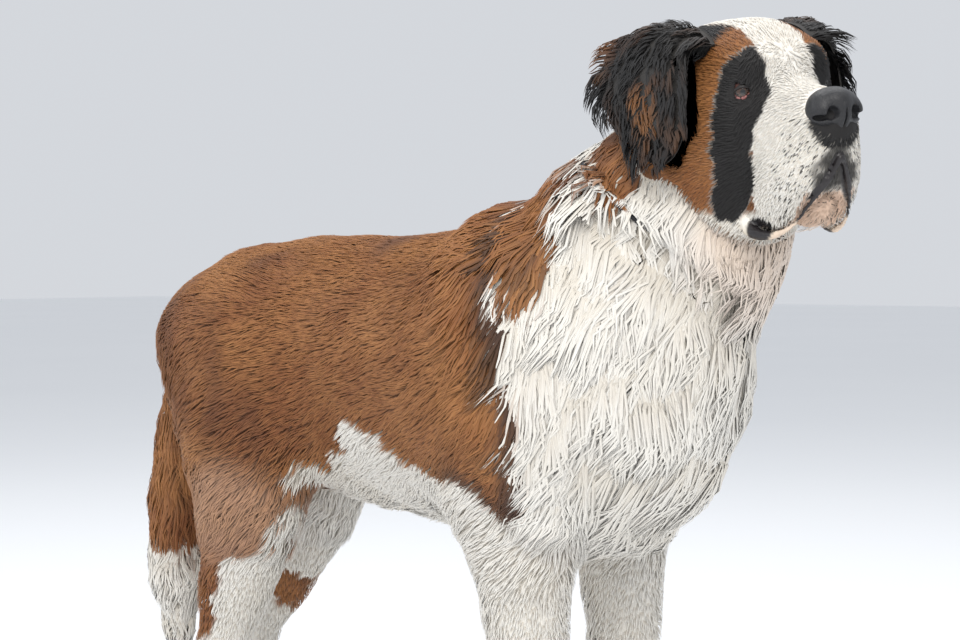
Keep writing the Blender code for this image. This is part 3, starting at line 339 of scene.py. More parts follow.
class Nodes:
    """One material's nodes."""

    def __init__(self, name):
        self.material = bpy.data.materials.new(name)
        self.material.use_nodes = True
        self.tree = self.material.node_tree
        self.shader = self.tree.nodes["Principled BSDF"]

    def node(self, kind, settings, inputs):
        """Add a node, set it, then fill or link its sockets."""
        made = self.tree.nodes.new(kind)
        for name, setting in settings.items():
            if name == "stops":
                for k, (place, colour) in enumerate(setting):
                    stop = made.color_ramp.elements[k] if k < 2 else made.color_ramp.elements.new(place)
                    stop.position = place
                    stop.color = (*colour, 1.0)
            else:
                setattr(made, name, setting)
        for key, given in inputs.items():
            self.feed(made.inputs[key], given)
        return made

    def feed(self, socket, given):
        if isinstance(given, Value):
            self.tree.links.new(given.socket, socket)
        elif socket.type == "RGBA" and len(given) == 3:
            socket.default_value = (*given, 1.0)
        else:
            socket.default_value = given

    def value(self, kind, settings, inputs, output=0):
        return Value(self, self.node(kind, settings, inputs).outputs[output])

    def attribute(self, name, output="Fac"):
        return self.value("ShaderNodeAttribute", {"attribute_name": name}, {}, output)

    def noise(self, scale, detail=3.0, stretch=(1.0, 1.0, 1.0)):
        place = self.value("ShaderNodeTexCoord", {}, {}, "Object")
        place = self.value("ShaderNodeMapping", {}, {"Vector": place, "Scale": stretch})
        return self.value("ShaderNodeTexNoise", {}, {"Vector": place, "Scale": scale, "Detail": detail})

    def mix(self, share, first, second):
        """Go from the first colour to the second."""
        settings = {"data_type": "RGBA"}
        return self.value("ShaderNodeMix", settings, {0: share, 6: first, 7: second}, 2)

    def bump(self, height, strength, distance):
        made = self.node("ShaderNodeBump", {}, {"Height": height, "Strength": strength, "Distance": distance})
        self.tree.links.new(made.outputs["Normal"], self.shader.inputs["Normal"])

    def finish(self, **sockets):
        """Set the shader's own sockets, given by name with underscores for spaces."""
        for name, given in sockets.items():
            self.feed(self.shader.inputs[name.replace("_", " ").title()], given)
        return self.material


def coat_finish(nodes, palette, share):
    """The coat's colour from its marks: white, rust, peach and black, each darker toward the root as painted shade.

    Each mark is an attribute from 0 to 1. The share is how far along its strand a point is.
    """
    tone = nodes.attribute("tone")
    cloud = nodes.noise(9.0)
    # Painted shade: each strand darkens toward its root, where the coat shades itself.
    root = (1.0 - share * 1.7).clamp()
    # The white turns to cream by random tone and, as painted shade, toward the root.
    white = nodes.mix(((1.0 - share) * 0.30 + (cloud - 0.5) * 0.5 + tone * 0.12).clamp(),
                      tuple(palette.white), tuple(palette.cream))
    # Painted shade at the root of the white strands, in a warm shadow colour.
    white = nodes.mix(root * 0.50, white, (0.60, 0.50, 0.36))
    rust = nodes.mix((tone * 0.45 + (cloud - 0.44) * 1.9 + share * 0.15).clamp(),
                     tuple(palette.rust), tuple(palette.sand))
    bands = nodes.noise(5.0, 2.0, (1.6, 1.0, 0.45))
    rust = nodes.mix(bands.over(0.50, 0.68) * 0.65, rust, (0.075, 0.022, 0.007))
    # Painted shade at the root of the red-brown strands.
    rust = nodes.mix(root * 0.60, rust, (0.035, 0.012, 0.004))
    colour = nodes.mix(nodes.attribute("rust"), white, rust)
    colour = nodes.mix(nodes.attribute("peach"), colour, tuple(palette.peach))
    return nodes.mix(nodes.attribute("black"), colour, tuple(palette.black))


def tuft_material(palette):
    """Fur: darker at the root as painted shade, with fine lines for its hairs."""
    nodes = Nodes("coat")
    colour = coat_finish(nodes, palette, nodes.attribute("along"))
    hairs = nodes.value("ShaderNodeTexNoise", {"noise_dimensions": "1D"}, {
        "W": nodes.attribute("hair"), "Scale": 5.0, "Detail": 2.0})
    shade = nodes.value("ShaderNodeVectorMath", {"operation": "SCALE"}, {0: colour, "Scale": 0.80})
    colour = nodes.mix(hairs.over(0.35, 0.62), shade, colour)
    return nodes.finish(base_color=colour, roughness=0.60)


def skin_material(palette):
    """The skin under the coat, with short flat fur as a fine combed bump, and bare lips."""
    nodes = Nodes("skin")
    bare = nodes.attribute("bare")
    # Painted shade: where the coat over it is deep, the skin takes the dark colour of the strands' roots.
    share = 1.0 - nodes.attribute("deep")
    colour = coat_finish(nodes, palette, share)
    colour = nodes.mix(bare, colour, nodes.mix(nodes.attribute("pink"), (0.018, 0.015, 0.016), tuple(palette.lip)))
    nodes.bump(nodes.noise(420.0, 4.0, (0.35, 1.0, 0.6)), 0.5, 0.0012)
    return nodes.finish(base_color=colour, roughness=0.75 - bare * 0.40)


def put_mesh(name, points, quads, triangles=None, attributes=None, material=None, smooth=True):
    """Make an object from whole arrays of points and faces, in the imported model's place."""
    mesh = bpy.data.meshes.new(name)
    points = np.asarray(points, dtype=np.float32) - ORIGIN.astype(np.float32)
    triangles = np.zeros((0, 3), dtype=np.int32) if triangles is None else triangles
    loops = np.concatenate([np.asarray(quads).ravel(), np.asarray(triangles).ravel()]).astype(np.int32)
    sizes = np.concatenate([np.full(len(quads), 4), np.full(len(triangles), 3)]).astype(np.int32)
    mesh.vertices.add(len(points))
    mesh.vertices.foreach_set("co", points.ravel())
    mesh.loops.add(len(loops))
    mesh.loops.foreach_set("vertex_index", loops)
    mesh.polygons.add(len(sizes))
    mesh.polygons.foreach_set("loop_start", np.concatenate([[0], np.cumsum(sizes)[:-1]]).astype(np.int32))
    mesh.polygons.foreach_set("loop_total", sizes)
    mesh.update(calc_edges=True)
    mesh.polygons.foreach_set("use_smooth", np.full(len(sizes), smooth))
    for key, values in (attributes or {}).items():
        layer = mesh.attributes.new(key, "FLOAT", "POINT")
        layer.data.foreach_set("value", np.asarray(values, dtype=np.float32))
    made = bpy.data.objects.new(name, mesh)
    bpy.context.scene.collection.objects.link(made)
    if material is not None:
        mesh.materials.append(material)
    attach(made, "root")
    return made, loops


def smooth_step(value, low, high):
    """Rise smoothly from 0 to 1 as the value goes from low to high."""
    t = np.clip((value - low) / (high - low), 0.0, 1.0)
    return t * t * (3.0 - 2.0 * t)


def unit(vectors):
    """Each vector divided by its own length."""
    return vectors / np.maximum(np.linalg.norm(vectors, axis=-1, keepdims=True), 1e-9)


def waves(points, seed, scale, count=7):
    """Soft noise: a sum of sines whose directions, lengths and starts are drawn at random."""
    draw = np.random.RandomState(seed)
    ways = draw.normal(size=(count, 3)) * scale
    return np.sin(points @ ways.T + draw.uniform(0.0, TAU, count)).sum(axis=-1) / math.sqrt(count)


def to_head(points):
    """Places in the head's own measure: forward, left and up."""
    return (points - HEAD_PLACE) @ HEAD_TURN


def from_head(points):
    """Places in the dog's measure from those in the head's."""
    return HEAD_PLACE + np.asarray(points) @ HEAD_TURN.T


def smooth_rows(rows, spacing):
    """Read rows off a smooth curve through the given ones: a cubic piece between each two."""
    rows = np.array(rows, dtype=float)
    steps = np.linalg.norm(np.diff(rows[:, :3], axis=0), axis=1)
    along = np.concatenate([[0.0], np.cumsum(steps)])
    slopes = np.gradient(rows, along, axis=0)
    wanted = np.linspace(0.0, along[-1], max(3, round(along[-1] / spacing) + 1))
    piece = np.clip(np.searchsorted(along, wanted, side="right") - 1, 0, len(along) - 2)
    width = (along[piece + 1] - along[piece])[:, None]
    t = (wanted - along[piece])[:, None] / width
    start = (2 * t**3 - 3 * t**2 + 1) * rows[piece] + (t**3 - 2 * t**2 + t) * width * slopes[piece]
    end = (3 * t**2 - 2 * t**3) * rows[piece + 1] + (t**3 - t**2) * width * slopes[piece + 1]
    return start + end


def inside_outline(u, v, outline):
    """How far points lie inside an outline, less than zero outside it: the least distance to an edge."""
    nearest = np.full(u.shape, FAR)
    inside = np.zeros(u.shape, dtype=bool)
    for (a, b), (c, d) in zip(outline, outline[1:] + outline[:1]):
        along = np.clip(((u - a) * (c - a) + (v - b) * (d - b)) / ((c - a) ** 2 + (d - b) ** 2), 0.0, 1.0)
        nearest = np.minimum(nearest, np.hypot(u - a - along * (c - a), v - b - along * (d - b)))
        crosses = ((b > v) != (d > v)) & (u < (c - a) * (v - b) / (d - b if d != b else 1e-9) + a)
        inside ^= crosses
    return np.where(inside, nearest, -nearest)


class Field:
    """Heights over a surface, sampled on a box of points that are closer together round the head."""

    def __init__(self, axes):
        self.axes = [np.asarray(axis, dtype=np.float32) for axis in axes]
        self.values = self.empty()

    def empty(self):
        return np.full([len(axis) for axis in self.axes], FAR, dtype=np.float32)

    def part(self, low, high):
        """The slices that hold a box."""
        return tuple(
            slice(max(0, int(np.searchsorted(axis, low[k])) - 1), int(np.searchsorted(axis, high[k])) + 1)
            for k, axis in enumerate(self.axes))

    def places(self, part):
        grids = np.meshgrid(*(axis[piece] for axis, piece in zip(self.axes, part)), indexing="ij")
        return np.stack(grids, axis=-1)

    def tube(self, rows, sideways=0.0, spacing=0.025):
        """The height over a tube: oval balls carried along the path, with the least height kept.

        In each ball's own directions a point's height is k (k - 1) / g, where k is the length of the
        point divided by the half sizes, and g is the length of the point divided by their squares.
        """
        table = smooth_rows(rows, spacing)
        table[:, 1] += sideways
        out = self.empty()
        for first, second in zip(table[:-1], table[1:]):
            reach = max(first[3:].max(), second[3:].max()) + REACH
            part = self.part(np.minimum(first[:3], second[:3]) - reach, np.maximum(first[:3], second[:3]) + reach)
            way = second[:3] - first[:3]
            length = np.linalg.norm(way)
            ahead = way / length
            over = unit(np.cross(ahead, (0.0, 1.0, 0.0)))
            across = np.cross(over, ahead)
            apart = (self.places(part) - first[:3]).astype(np.float32)
            share = np.clip(apart @ ahead.astype(np.float32) / length, 0.0, 1.0)
            apart -= share[..., None] * way.astype(np.float32)
            sizes = first[3:] + share[..., None] * (second[3:] - first[3:])
            rise = apart @ over.astype(np.float32)
            tall = np.where(rise > 0.0, sizes[..., 1], sizes[..., 2])
            lead = sizes.min(axis=-1)
            parts = np.stack([apart @ across.astype(np.float32), rise, apart @ ahead.astype(np.float32)], axis=-1)
            radii = np.stack([sizes[..., 0], tall, lead], axis=-1)
            k = np.linalg.norm(parts / radii, axis=-1)
            g = np.linalg.norm(parts / radii**2, axis=-1) + 1e-9
            out[part] = np.minimum(out[part], k * (k - 1.0) / g)
        return out

    def mass(self, centre, radii, turn=None):
        """The height over an oval ball, by the formula of a tube's balls."""
        out = self.empty()
        radii = np.array(radii, dtype=np.float32)
        reach = radii.max() + REACH
        part = self.part(np.asarray(centre) - reach, np.asarray(centre) + reach)
        apart = (self.places(part) - np.asarray(centre)).astype(np.float32)
        if turn is not None:
            apart = apart @ turn.astype(np.float32)
        k = np.linalg.norm(apart / radii, axis=-1)
        g = np.linalg.norm(apart / radii**2, axis=-1) + 1e-9
        out[part] = k * (k - 1.0) / g
        return out

    def blend(self, other, soft):
        """Join another form, rounding the crease over a width: the least of both, less a bulge."""
        part = np.maximum(soft - np.abs(self.values - other), 0.0) / soft
        self.values = np.minimum(self.values, other) - part * part * soft * 0.25

    def carve(self, other, soft):
        """Take a form away, rounding the rim."""
        part = np.maximum(soft - np.abs(self.values + other), 0.0) / soft
        self.values = np.maximum(self.values, -other) + part * part * soft * 0.25

    def read(self, points, values=None):
        """The field at any points, straight between its samples."""
        values = self.values if values is None else values
        low, share = [], []
        for k, axis in enumerate(self.axes):
            index = np.clip(np.searchsorted(axis, points[:, k], side="right") - 1, 0, len(axis) - 2)
            low.append(index)
            share.append(np.clip((points[:, k] - axis[index]) / (axis[index + 1] - axis[index]), 0.0, 1.0))
        total = 0.0
        for corner in range(8):
            bits = [(corner >> k) & 1 for k in range(3)]
            weight = np.prod([share[k] if bits[k] else 1.0 - share[k] for k in range(3)], axis=0)
            found = values[tuple(low[k] + bits[k] for k in range(3))]
            total = total + (weight[:, None] * found if found.ndim == 2 else weight * found)
        return total

    def settle(self):
        """Keep the height and its rise along each axis, side by side."""
        rise = np.gradient(self.values, *self.axes)
        self.known = np.stack([self.values, *rise], axis=-1).astype(np.float32)

    def sense(self, points):
        """The height at any points, and the direction in which it rises."""
        found = self.read(points, self.known)
        return found[:, 0], unit(found[:, 1:])

    def slope(self, points):
        return self.sense(points)[1]

    def surface(self):
        """The level surface as points and quads: one point in each cell that it crosses, at the mean
        of its crossings with the cell's edges, and one quad round each crossed edge."""
        f = self.values
        shape = np.array(f.shape) - 1
        cells, spots, rings = [], [], []
        for axis in range(3):
            one, two = (axis + 1) % 3, (axis + 2) % 3
            lower = [slice(None)] * 3
            upper = [slice(None)] * 3
            lower[axis], upper[axis] = slice(0, -1), slice(1, None)
            a, b = f[tuple(lower)], f[tuple(upper)]
            index = np.argwhere((a < 0.0) != (b < 0.0))
            inner = np.all((index[:, [one, two]] > 0) & (index[:, [one, two]] < shape[[one, two]]), axis=1)
            index = index[inner]
            first, second = a[tuple(index.T)], b[tuple(index.T)]
            share = first / (first - second)
            spot = np.stack([self.axes[k][index[:, k]] for k in range(3)], axis=-1).astype(float)
            spot[:, axis] += share * np.diff(self.axes[axis])[index[:, axis]]
            ring = []
            for du, dv in ((1, 1), (0, 1), (0, 0), (1, 0)):
                cell = index.copy()
                cell[:, one] -= du
                cell[:, two] -= dv
                ring.append(np.ravel_multi_index(cell.T, shape))
            ring = np.stack(ring, axis=1)
            cells.append(ring.ravel())
            spots.append(np.repeat(spot, 4, axis=0))
            rings.append(np.where((first < 0.0)[:, None], ring, ring[:, ::-1]))
        cells, spots, rings = (np.concatenate(group) for group in (cells, spots, rings))
        known, inverse = np.unique(cells, return_inverse=True)
        count = np.bincount(inverse)
        points = np.stack([np.bincount(inverse, spots[:, k]) / count for k in range(3)], axis=-1)
        return points, np.searchsorted(known, rings)


def both_sides(masses):
    """The masses, with those off the middle on both sides."""
    for centre, radii, soft in masses:
        yield np.array(centre), radii, soft
        if centre[1] > 0.0:
            yield np.array(centre) * (1.0, -1.0, 1.0), radii, soft


def spaced(low, high, step):
    return np.arange(low, high, step)


def body_field():
    """The dog's outer form, out to the tips of the coat."""
    along = np.concatenate([spaced(-0.53, 0.36, 0.0062), spaced(0.36, 0.72, 0.0032)])
    across = np.concatenate([spaced(-0.22, -0.14, 0.0050), spaced(-0.14, 0.10, 0.0034), spaced(0.10, 0.22, 0.0050)])
    up = np.concatenate([spaced(-0.02, 0.085, 0.0036), spaced(0.085, 0.74, 0.0062), spaced(0.74, 1.04, 0.0032)])
    field = Field((along, across, up))
    field.blend(field.tube(TORSO), 0.01)
    field.blend(field.tube(NECK), 0.08)
    for centre, radii, soft in both_sides(CHEST_MASSES):
        field.blend(field.mass(centre, radii), soft)
    for rows, sideways, middle, length in LEGS:
        field.blend(field.tube(rows, sideways), 0.05)
        field.blend(field.mass((middle - 0.008, sideways, 0.034), (length, 0.047, 0.043)), 0.02)
        for toe in (-1.5, -0.5, 0.5, 1.5):
            ahead = middle + 0.038 - 0.006 * toe * toe
            place = (ahead, sideways + toe * TOE_SPACING, 0.028)
            field.blend(field.mass(place, (0.034, 0.0145, 0.030)), 0.006)
    field.blend(field.tube(TAIL), 0.03)
    head = Field(field.axes)
    for centre, radii, soft in both_sides(HEAD_MASSES):
        head.blend(head.mass(from_head(centre), radii, HEAD_TURN), soft)
    for centre, radii, soft in both_sides(JAW_MASSES):
        head.blend(head.mass(from_head(centre), radii, HEAD_TURN), 0.004)
    field.blend(head.values, 0.05)
    return field


def regions(points):
    """Soft masks, from 0 to 1, for the parts of the body at any places."""
    x, y, z = points.T
    head = to_head(points)
    reach = np.linalg.norm(head / (0.150, 0.115, 0.130) - (0.25, 0.0, -0.12), axis=-1)
    face = 1.0 - smooth_step(reach, 1.05, 1.30)
    face *= smooth_step(head[:, 0] + (head[:, 2] + 0.12) * 0.6, 0.030, 0.050) + smooth_step(head[:, 2], -0.10, -0.08)
    face = np.clip(face, 0.0, 1.0)
    chin = smooth_step(head[:, 0], -0.02, 0.06) * smooth_step(head[:, 2], -0.24, -0.14)
    muzzle = smooth_step(head[:, 0], 0.085, 0.125) * face
    tail = smooth_step(-x, 0.385, 0.405) * (np.abs(y) < 0.06) * smooth_step(z, 0.13, 0.16)
    fore = smooth_step(-z, -0.46, -0.34) * (x > 0.05)
    hind = smooth_step(-z, -0.42, -0.30) * (x < 0.02) * (1.0 - tail)
    ruff = smooth_step(x + 0.45 * (z - 0.60), 0.15, 0.26) * smooth_step(z, 0.36, 0.46) * (1.0 - face) * (1.0 - 0.35 * chin)
    paw = 1.0 - smooth_step(z, 0.07, 0.12)
    breech = smooth_step(-x, 0.18, 0.32) * smooth_step(z, 0.26, 0.34) * smooth_step(-z, -0.68, -0.60) * (1 - tail)
    belly = smooth_step(-z, -0.50, -0.42) * (np.abs(x) < 0.30) * smooth_step(z, 0.32, 0.38)
    return {"face": face, "muzzle": muzzle, "tail": tail, "fore": fore, "hind": hind, "ruff": ruff,
            "paw": paw, "breech": breech, "belly": belly, "head": head}


def coat_depth(points, normals, sizes):
    """How far the coat stands over the skin: the body's depth, changed part by part."""
    part = regions(points)
    up = np.maximum(normals[:, 2], 0.0)
    back = np.maximum(-normals[:, 0], 0.0)
    under = np.maximum(-normals[:, 2], 0.0)
    depth = np.full(len(points), sizes.body)
    depth += (sizes.ruff - depth) * part["ruff"] * (1.0 - 0.65 * up)
    depth += (0.026 - depth) * part["breech"] * back
    depth += (0.020 - depth) * part["belly"] * under * (part["fore"] < 0.5)
    leg = np.maximum(part["fore"], part["hind"])
    depth += (0.0055 + 0.012 * back * smooth_step(points[:, 2], 0.12, 0.2) - depth) * leg * (1 - part["belly"])
    depth += (0.020 - depth) * part["tail"]
    depth += (0.0042 - depth) * part["paw"]
    depth += (sizes.face * (1.6 - part["muzzle"] * 0.8) - depth) * part["face"]
    return depth


def coat_lie(points, normals, part):
    """The way the coat lies, flattened on to the skin."""
    x, y, z = points.T
    side = np.sign(y + 1e-6)
    side_on = np.abs(normals[:, 1])
    ones = np.ones_like(x)
    lie = np.stack([-ones, side * 0.05, -0.18 - 0.65 * side_on * smooth_step(-z, -0.72, -0.45)], axis=-1)

    def toward(way, mask):
        return lie + (unit(np.stack([w * ones for w in way], axis=-1)) - unit(lie)) * mask[:, None]

    lie = toward((-0.55, 0.25 * side, -0.95), smooth_step(x, 0.12, 0.24) * smooth_step(z, 0.45, 0.75))
    lie = toward((-0.20 - 0.25 * side_on, 0.15 * side, -1.0), part["ruff"] * (normals[:, 2] < 0.6))
    lie = toward((-0.45, 0.0, -0.9), part["breech"])
    lie = toward((-0.55, 0.1 * side, -0.75), part["belly"])
    lie = toward((-0.12, 0.0, -1.0), np.maximum(part["fore"], part["hind"]) * (1.0 - part["belly"]))
    lie = toward((0.85, 0.0, -0.45), part["paw"] * smooth_step(-z, -0.10, -0.05))
    lie = toward((0.0, 0.0, -1.0), part["tail"])
    head = part["head"]
    away = np.stack([head[:, 0] * 0.0 - 1.0, head[:, 1] * 6.0, (head[:, 2] + 0.02) * 7.0 - 0.10], axis=-1)
    away[:, 2] = np.where(head[:, 0] > 0.09, -0.35 - smooth_step(np.abs(head[:, 1]), 0.01, 0.05) * 0.9, away[:, 2])
    away = unit(away) @ HEAD_TURN.T
    lie = lie + (away - unit(lie)) * part["face"][:, None]
    lie += 0.17 * np.stack([waves(points, seed, 22.0) for seed in (3, 4, 5)], axis=-1)
    lie += 0.10 * np.stack([waves(points, seed, 900.0) for seed in (13, 14, 15)], axis=-1)
    lie -= normals * (lie * normals).sum(axis=-1, keepdims=True)
    return unit(lie)


def markings(points, part):
    """How rust, black, peach and bare each place is. Edges are ragged by noise on the place."""
    x, y, z = points.T
    rough = 0.007 * waves(points, 21, 60.0) + 0.004 * waves(points, 22, 190.0)
    right, left = (inside_outline(x, z, outline) for outline in (SADDLE_RIGHT, SADDLE_LEFT))
    saddle = np.where(y < 0.0, right, left) + rough
    shoulder = inside_outline(x, z, SHOULDER_PATCH) + rough
    nape = inside_outline(x, z, NAPE_PATCH) + rough
    nape = np.where(np.abs(y + 0.02) > 0.045, nape, -FAR)
    spot = 0.028 - np.hypot(x + 0.318, (z - 0.255) * 0.7) + rough
    spot = np.where((y > 0.02) & (x < 0.0), spot, -FAR)
    rust = np.maximum(np.maximum(saddle, shoulder), np.maximum(nape, spot))
    rust = smooth_step(rust, -0.003, 0.003)
    edging = np.where(y < 0.0, right, left)
    dark = smooth_step(-edging, -0.030, -0.004) * rust * smooth_step(x, 0.10, 0.19) * (saddle > 0.0)
    dark = np.maximum(dark * 0.75, 0.55 * rust * smooth_step(shoulder, 0.0, 0.02) * smooth_step(-z, -0.74, -0.68))
    tail = part["tail"] > 0.5
    rust = np.where(tail, smooth_step(z + rough * 2.0, 0.300, 0.325), rust)

    ahead, across, lift = part["head"].T
    wide = np.interp(ahead, (-0.10, -0.05, 0.02, 0.058, 0.078, 0.100, 0.112), (0.0, 0.016, 0.026, 0.030, 0.038, 0.034, 0.030))
    fine = rough * 0.35
    blaze = smooth_step(wide - np.abs(across + 0.004) + fine, -0.0015, 0.0015) * (lift > -0.02)
    muzzle = smooth_step(ahead + fine - 0.100, -0.0015, 0.0015)
    white = np.maximum(blaze, muzzle)
    patch = smooth_step(inside_outline(ahead, lift, EYE_PATCH) + fine, -0.0015, 0.0015) * (1.0 - blaze)
    crown = smooth_step(lift + ahead * 0.22 + fine * 2.0, 0.062, 0.072) * (1.0 - blaze) * smooth_step(-ahead, -0.055, -0.035)
    under = lift - np.interp(ahead, (-0.12, -0.06, 0.0), (-0.035, -0.080, -0.130))
    cheek = smooth_step(under + fine * 3.0, -0.005, 0.005)
    face = part["face"]
    on_face = face > 0.3
    on_head = (ahead > 0.05) & (lift > -0.20) & (np.abs(across) < 0.09)
    eyes = np.min([np.linalg.norm(points - centre, axis=-1) for _, _, centre, _, _ in EYES], axis=0)
    patch = np.maximum(patch, 1.0 - smooth_step(eyes, 0.024, 0.027))
    drop = np.linalg.norm((np.abs(part["head"]) - LIP_DROP) / LIP_DROP_SIZE, axis=-1)
    rust = np.where(on_face, np.maximum(cheek * (1.0 - white) * (1 - patch), 0.0), rust)
    lips = 1.0 - smooth_step(lip_distance(part["head"]), 0.0030, 0.0055)
    corner = (1.0 - smooth_step(drop, 0.95, 1.10)) * (lift < -0.115)
    lips = np.maximum(lips * smooth_step(ahead + fine, 0.146, 0.154), corner)
    nose = 1.0 - smooth_step(np.linalg.norm(part["head"] - (0.178, 0.0, -0.022), axis=-1) + fine, 0.031, 0.036)
    front = smooth_step(ahead - 0.030 * np.abs(across) / 0.03 + fine * 4.0, 0.150, 0.168) * (lift < -0.02)
    nose = np.maximum(nose, front * (lift > -0.105) * 0.93)
    speckle = smooth_step(inside_outline(ahead, lift, SPECKLE_AREA), -0.010, 0.030)
    black = np.where(on_face, np.maximum(np.maximum(patch, crown), nose), dark)
    black = np.maximum(black, lips * on_head)
    chin = smooth_step(-lift, 0.098, 0.108) * (np.abs(across) < 0.034) * smooth_step(ahead, 0.085, 0.10) * on_face
    stain = 0.42 * smooth_step(x, 0.40, 0.48) * smooth_step(z, 0.58, 0.70) * smooth_step(-z, -0.84, -0.78) * ~on_face
    pink = 0.30 * smooth_step(0.07 - np.hypot(x + 0.20, z - 0.40), -0.02, 0.03) * (y < 0.0)
    peach = np.where(on_face, chin * 0.9, np.maximum(stain, pink * rust))
    return {"rust": rust, "black": black, "peach": np.clip(peach * (1.0 - lips * on_head), 0, 1),
            "bare": lips * on_head, "speckle": speckle * on_face}


def lip_distance(head):
    """Distance from the edge of the hanging lips, on both sides."""
    path = smooth_rows([(*place, r, r, r) for place, r in zip(LIP_EDGE, LIP_RADII)], 0.006)
    folded = head * (1.0, 0.0, 1.0) + np.abs(head) * (0.0, 1.0, 0.0)
    best = np.full(len(head), FAR)
    for first, second in zip(path[:-1], path[1:]):
        way = second[:3] - first[:3]
        share = np.clip((folded - first[:3]) @ way / (way @ way), 0.0, 1.0)
        apart = np.linalg.norm(folded - first[:3] - share[:, None] * way, axis=-1)
        best = np.minimum(best, apart - first[3] - share * (second[3] - first[3]))
    return best


def eye_places():
    """The middle of each eyeball, its radius and the way it looks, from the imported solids."""
    for side, name in ((1.0, "eye_left"), (-1.0, "eye_right")):
        low, high = (np.array(corner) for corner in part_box(name))
        look = HEAD_TURN @ unit(np.array((math.cos(EYE_TURN), side * math.sin(EYE_TURN), 0.02)))
        yield side, name, (low + high) / 2.0 + ORIGIN, (high - low).mean() / 2.0, look


def ear_sheet(side, down_steps=34, over_steps=26):
    """An ear's leather: each row bends through its three points, and a smooth curve joins the rows.

    Across a row the weights of the three points are 2(t - 1/2)(t - 1), 4t(1 - t) and 2t(t - 1/2).
    """
    rows = np.array(EAR_ROWS) * (1.0, side, 1.0)
    t = np.linspace(0.0, 1.0, over_steps)[:, None, None]
    ribs = 2.0 * (t - 0.5) * (t - 1.0) * rows[:, 0] + 4.0 * t * (1.0 - t) * rows[:, 1] + 2.0 * t * (t - 0.5) * rows[:, 2]
    grid = []
    for rib in ribs:
        table = smooth_rows(np.concatenate([rib, np.zeros((len(rib), 3))], axis=1), 0.002)[:, :3]
        wanted = np.linspace(0.0, len(table) - 1.0, down_steps)
        grid.append(np.stack([np.interp(wanted, np.arange(len(table)), table[:, k]) for k in range(3)], axis=-1))
    grid = from_head(np.array(grid))
    along = unit(np.gradient(grid, axis=1))
    over = unit(np.gradient(grid, axis=0))
    return grid, along, over, unit(np.cross(over, along)) * side


def grid_faces(rows, columns, start=0, flip=False, wrap=False):
    """The quads of a grid of points, with its last column joined to its first where it wraps."""
    index = start + np.arange(rows * columns).reshape(rows, columns)
    nxt = np.roll(index, -1, axis=1) if wrap else index[:, 1:]
    now = index if wrap else index[:, :-1]
    quads = np.stack([now[:-1], nxt[:-1], nxt[1:], now[1:]], axis=-1).reshape(-1, 4)
    return quads[:, ::-1] if flip else quads


def closed_sheet(grid, normal, thickness):
    """Both faces of a sheet and the strip round its border."""
    rows, columns = grid.shape[:2]
    t = np.linspace(0.0, 1.0, rows)[:, None]
    v = np.linspace(0.0, 1.0, columns)[None, :]
    edge = np.minimum(np.minimum(t, 1.0 - t) * 6.0, 1.0) * np.minimum((1.0 - v) * 6.0, 1.0)
    thick = thickness * (0.25 + 0.75 * np.sqrt(edge))[..., None]
    top, under = grid + normal * thick * 0.5, grid - normal * thick * 0.5
    points = np.concatenate([top.reshape(-1, 3), under.reshape(-1, 3)])
    index = np.arange(rows * columns).reshape(rows, columns)
    rim = np.concatenate([index[:-1, 0], index[-1, :-1], index[:0:-1, -1], index[0, :0:-1]])
    after = np.roll(rim, -1)
    offset = rows * columns
    quads = np.concatenate([
        grid_faces(rows, columns), grid_faces(rows, columns, offset, flip=True),
        np.stack([after, rim, rim + offset, after + offset], axis=-1)])
    return points, quads


def tube_points(path, radius, sides, up=(0.0, 0.0, 1.0), closed=False):
    """A round tube: at each point of a path a circle square to it, in whole arrays."""
    path = np.asarray(path, dtype=float)
    if closed:
        ahead = unit(np.roll(path, -1, axis=0) - np.roll(path, 1, axis=0))
    else:
        ahead = unit(np.gradient(path, axis=0))
    across = unit(np.cross(ahead, np.broadcast_to(up, ahead.shape)))
    over = np.cross(across, ahead)
    angle = np.arange(sides) * TAU / sides
    radius = np.broadcast_to(np.asarray(radius, dtype=float).reshape(-1, 1, 1), (len(path), sides, 1))
    ring = across[:, None] * np.cos(angle)[None, :, None] + over[:, None] * np.sin(angle)[None, :, None]
    return path[:, None] + ring * radius


def closed_tube(path, radius, sides, up=(0.0, 0.0, 1.0)):
    """A tube with a point at each end, as points, quads and triangles."""
    rings = tube_points(path, radius, sides, up)
    points = np.concatenate([rings.reshape(-1, 3), [path[0]], [path[-1]]])
    quads = grid_faces(len(path), sides, wrap=True)
    around = np.arange(sides)
    last = (len(path) - 1) * sides
    start, end = len(points) - 2, len(points) - 1
    caps = np.concatenate([
        np.stack([np.full(sides, start), np.roll(around, -1), around], axis=-1),
        np.stack([np.full(sides, end), last + around, last + np.roll(around, -1)], axis=-1)])
    return points, quads, caps


def joined(parts):
    """Several sets of points, quads and triangles as one."""
    points, quads, triangles, start = [], [], [], 0
    for p, q, t in parts:
        points.append(p)
        quads.append(q + start)
        triangles.append(t + start)
        start += len(p)
    return np.concatenate(points), np.concatenate(quads), np.concatenate(triangles)


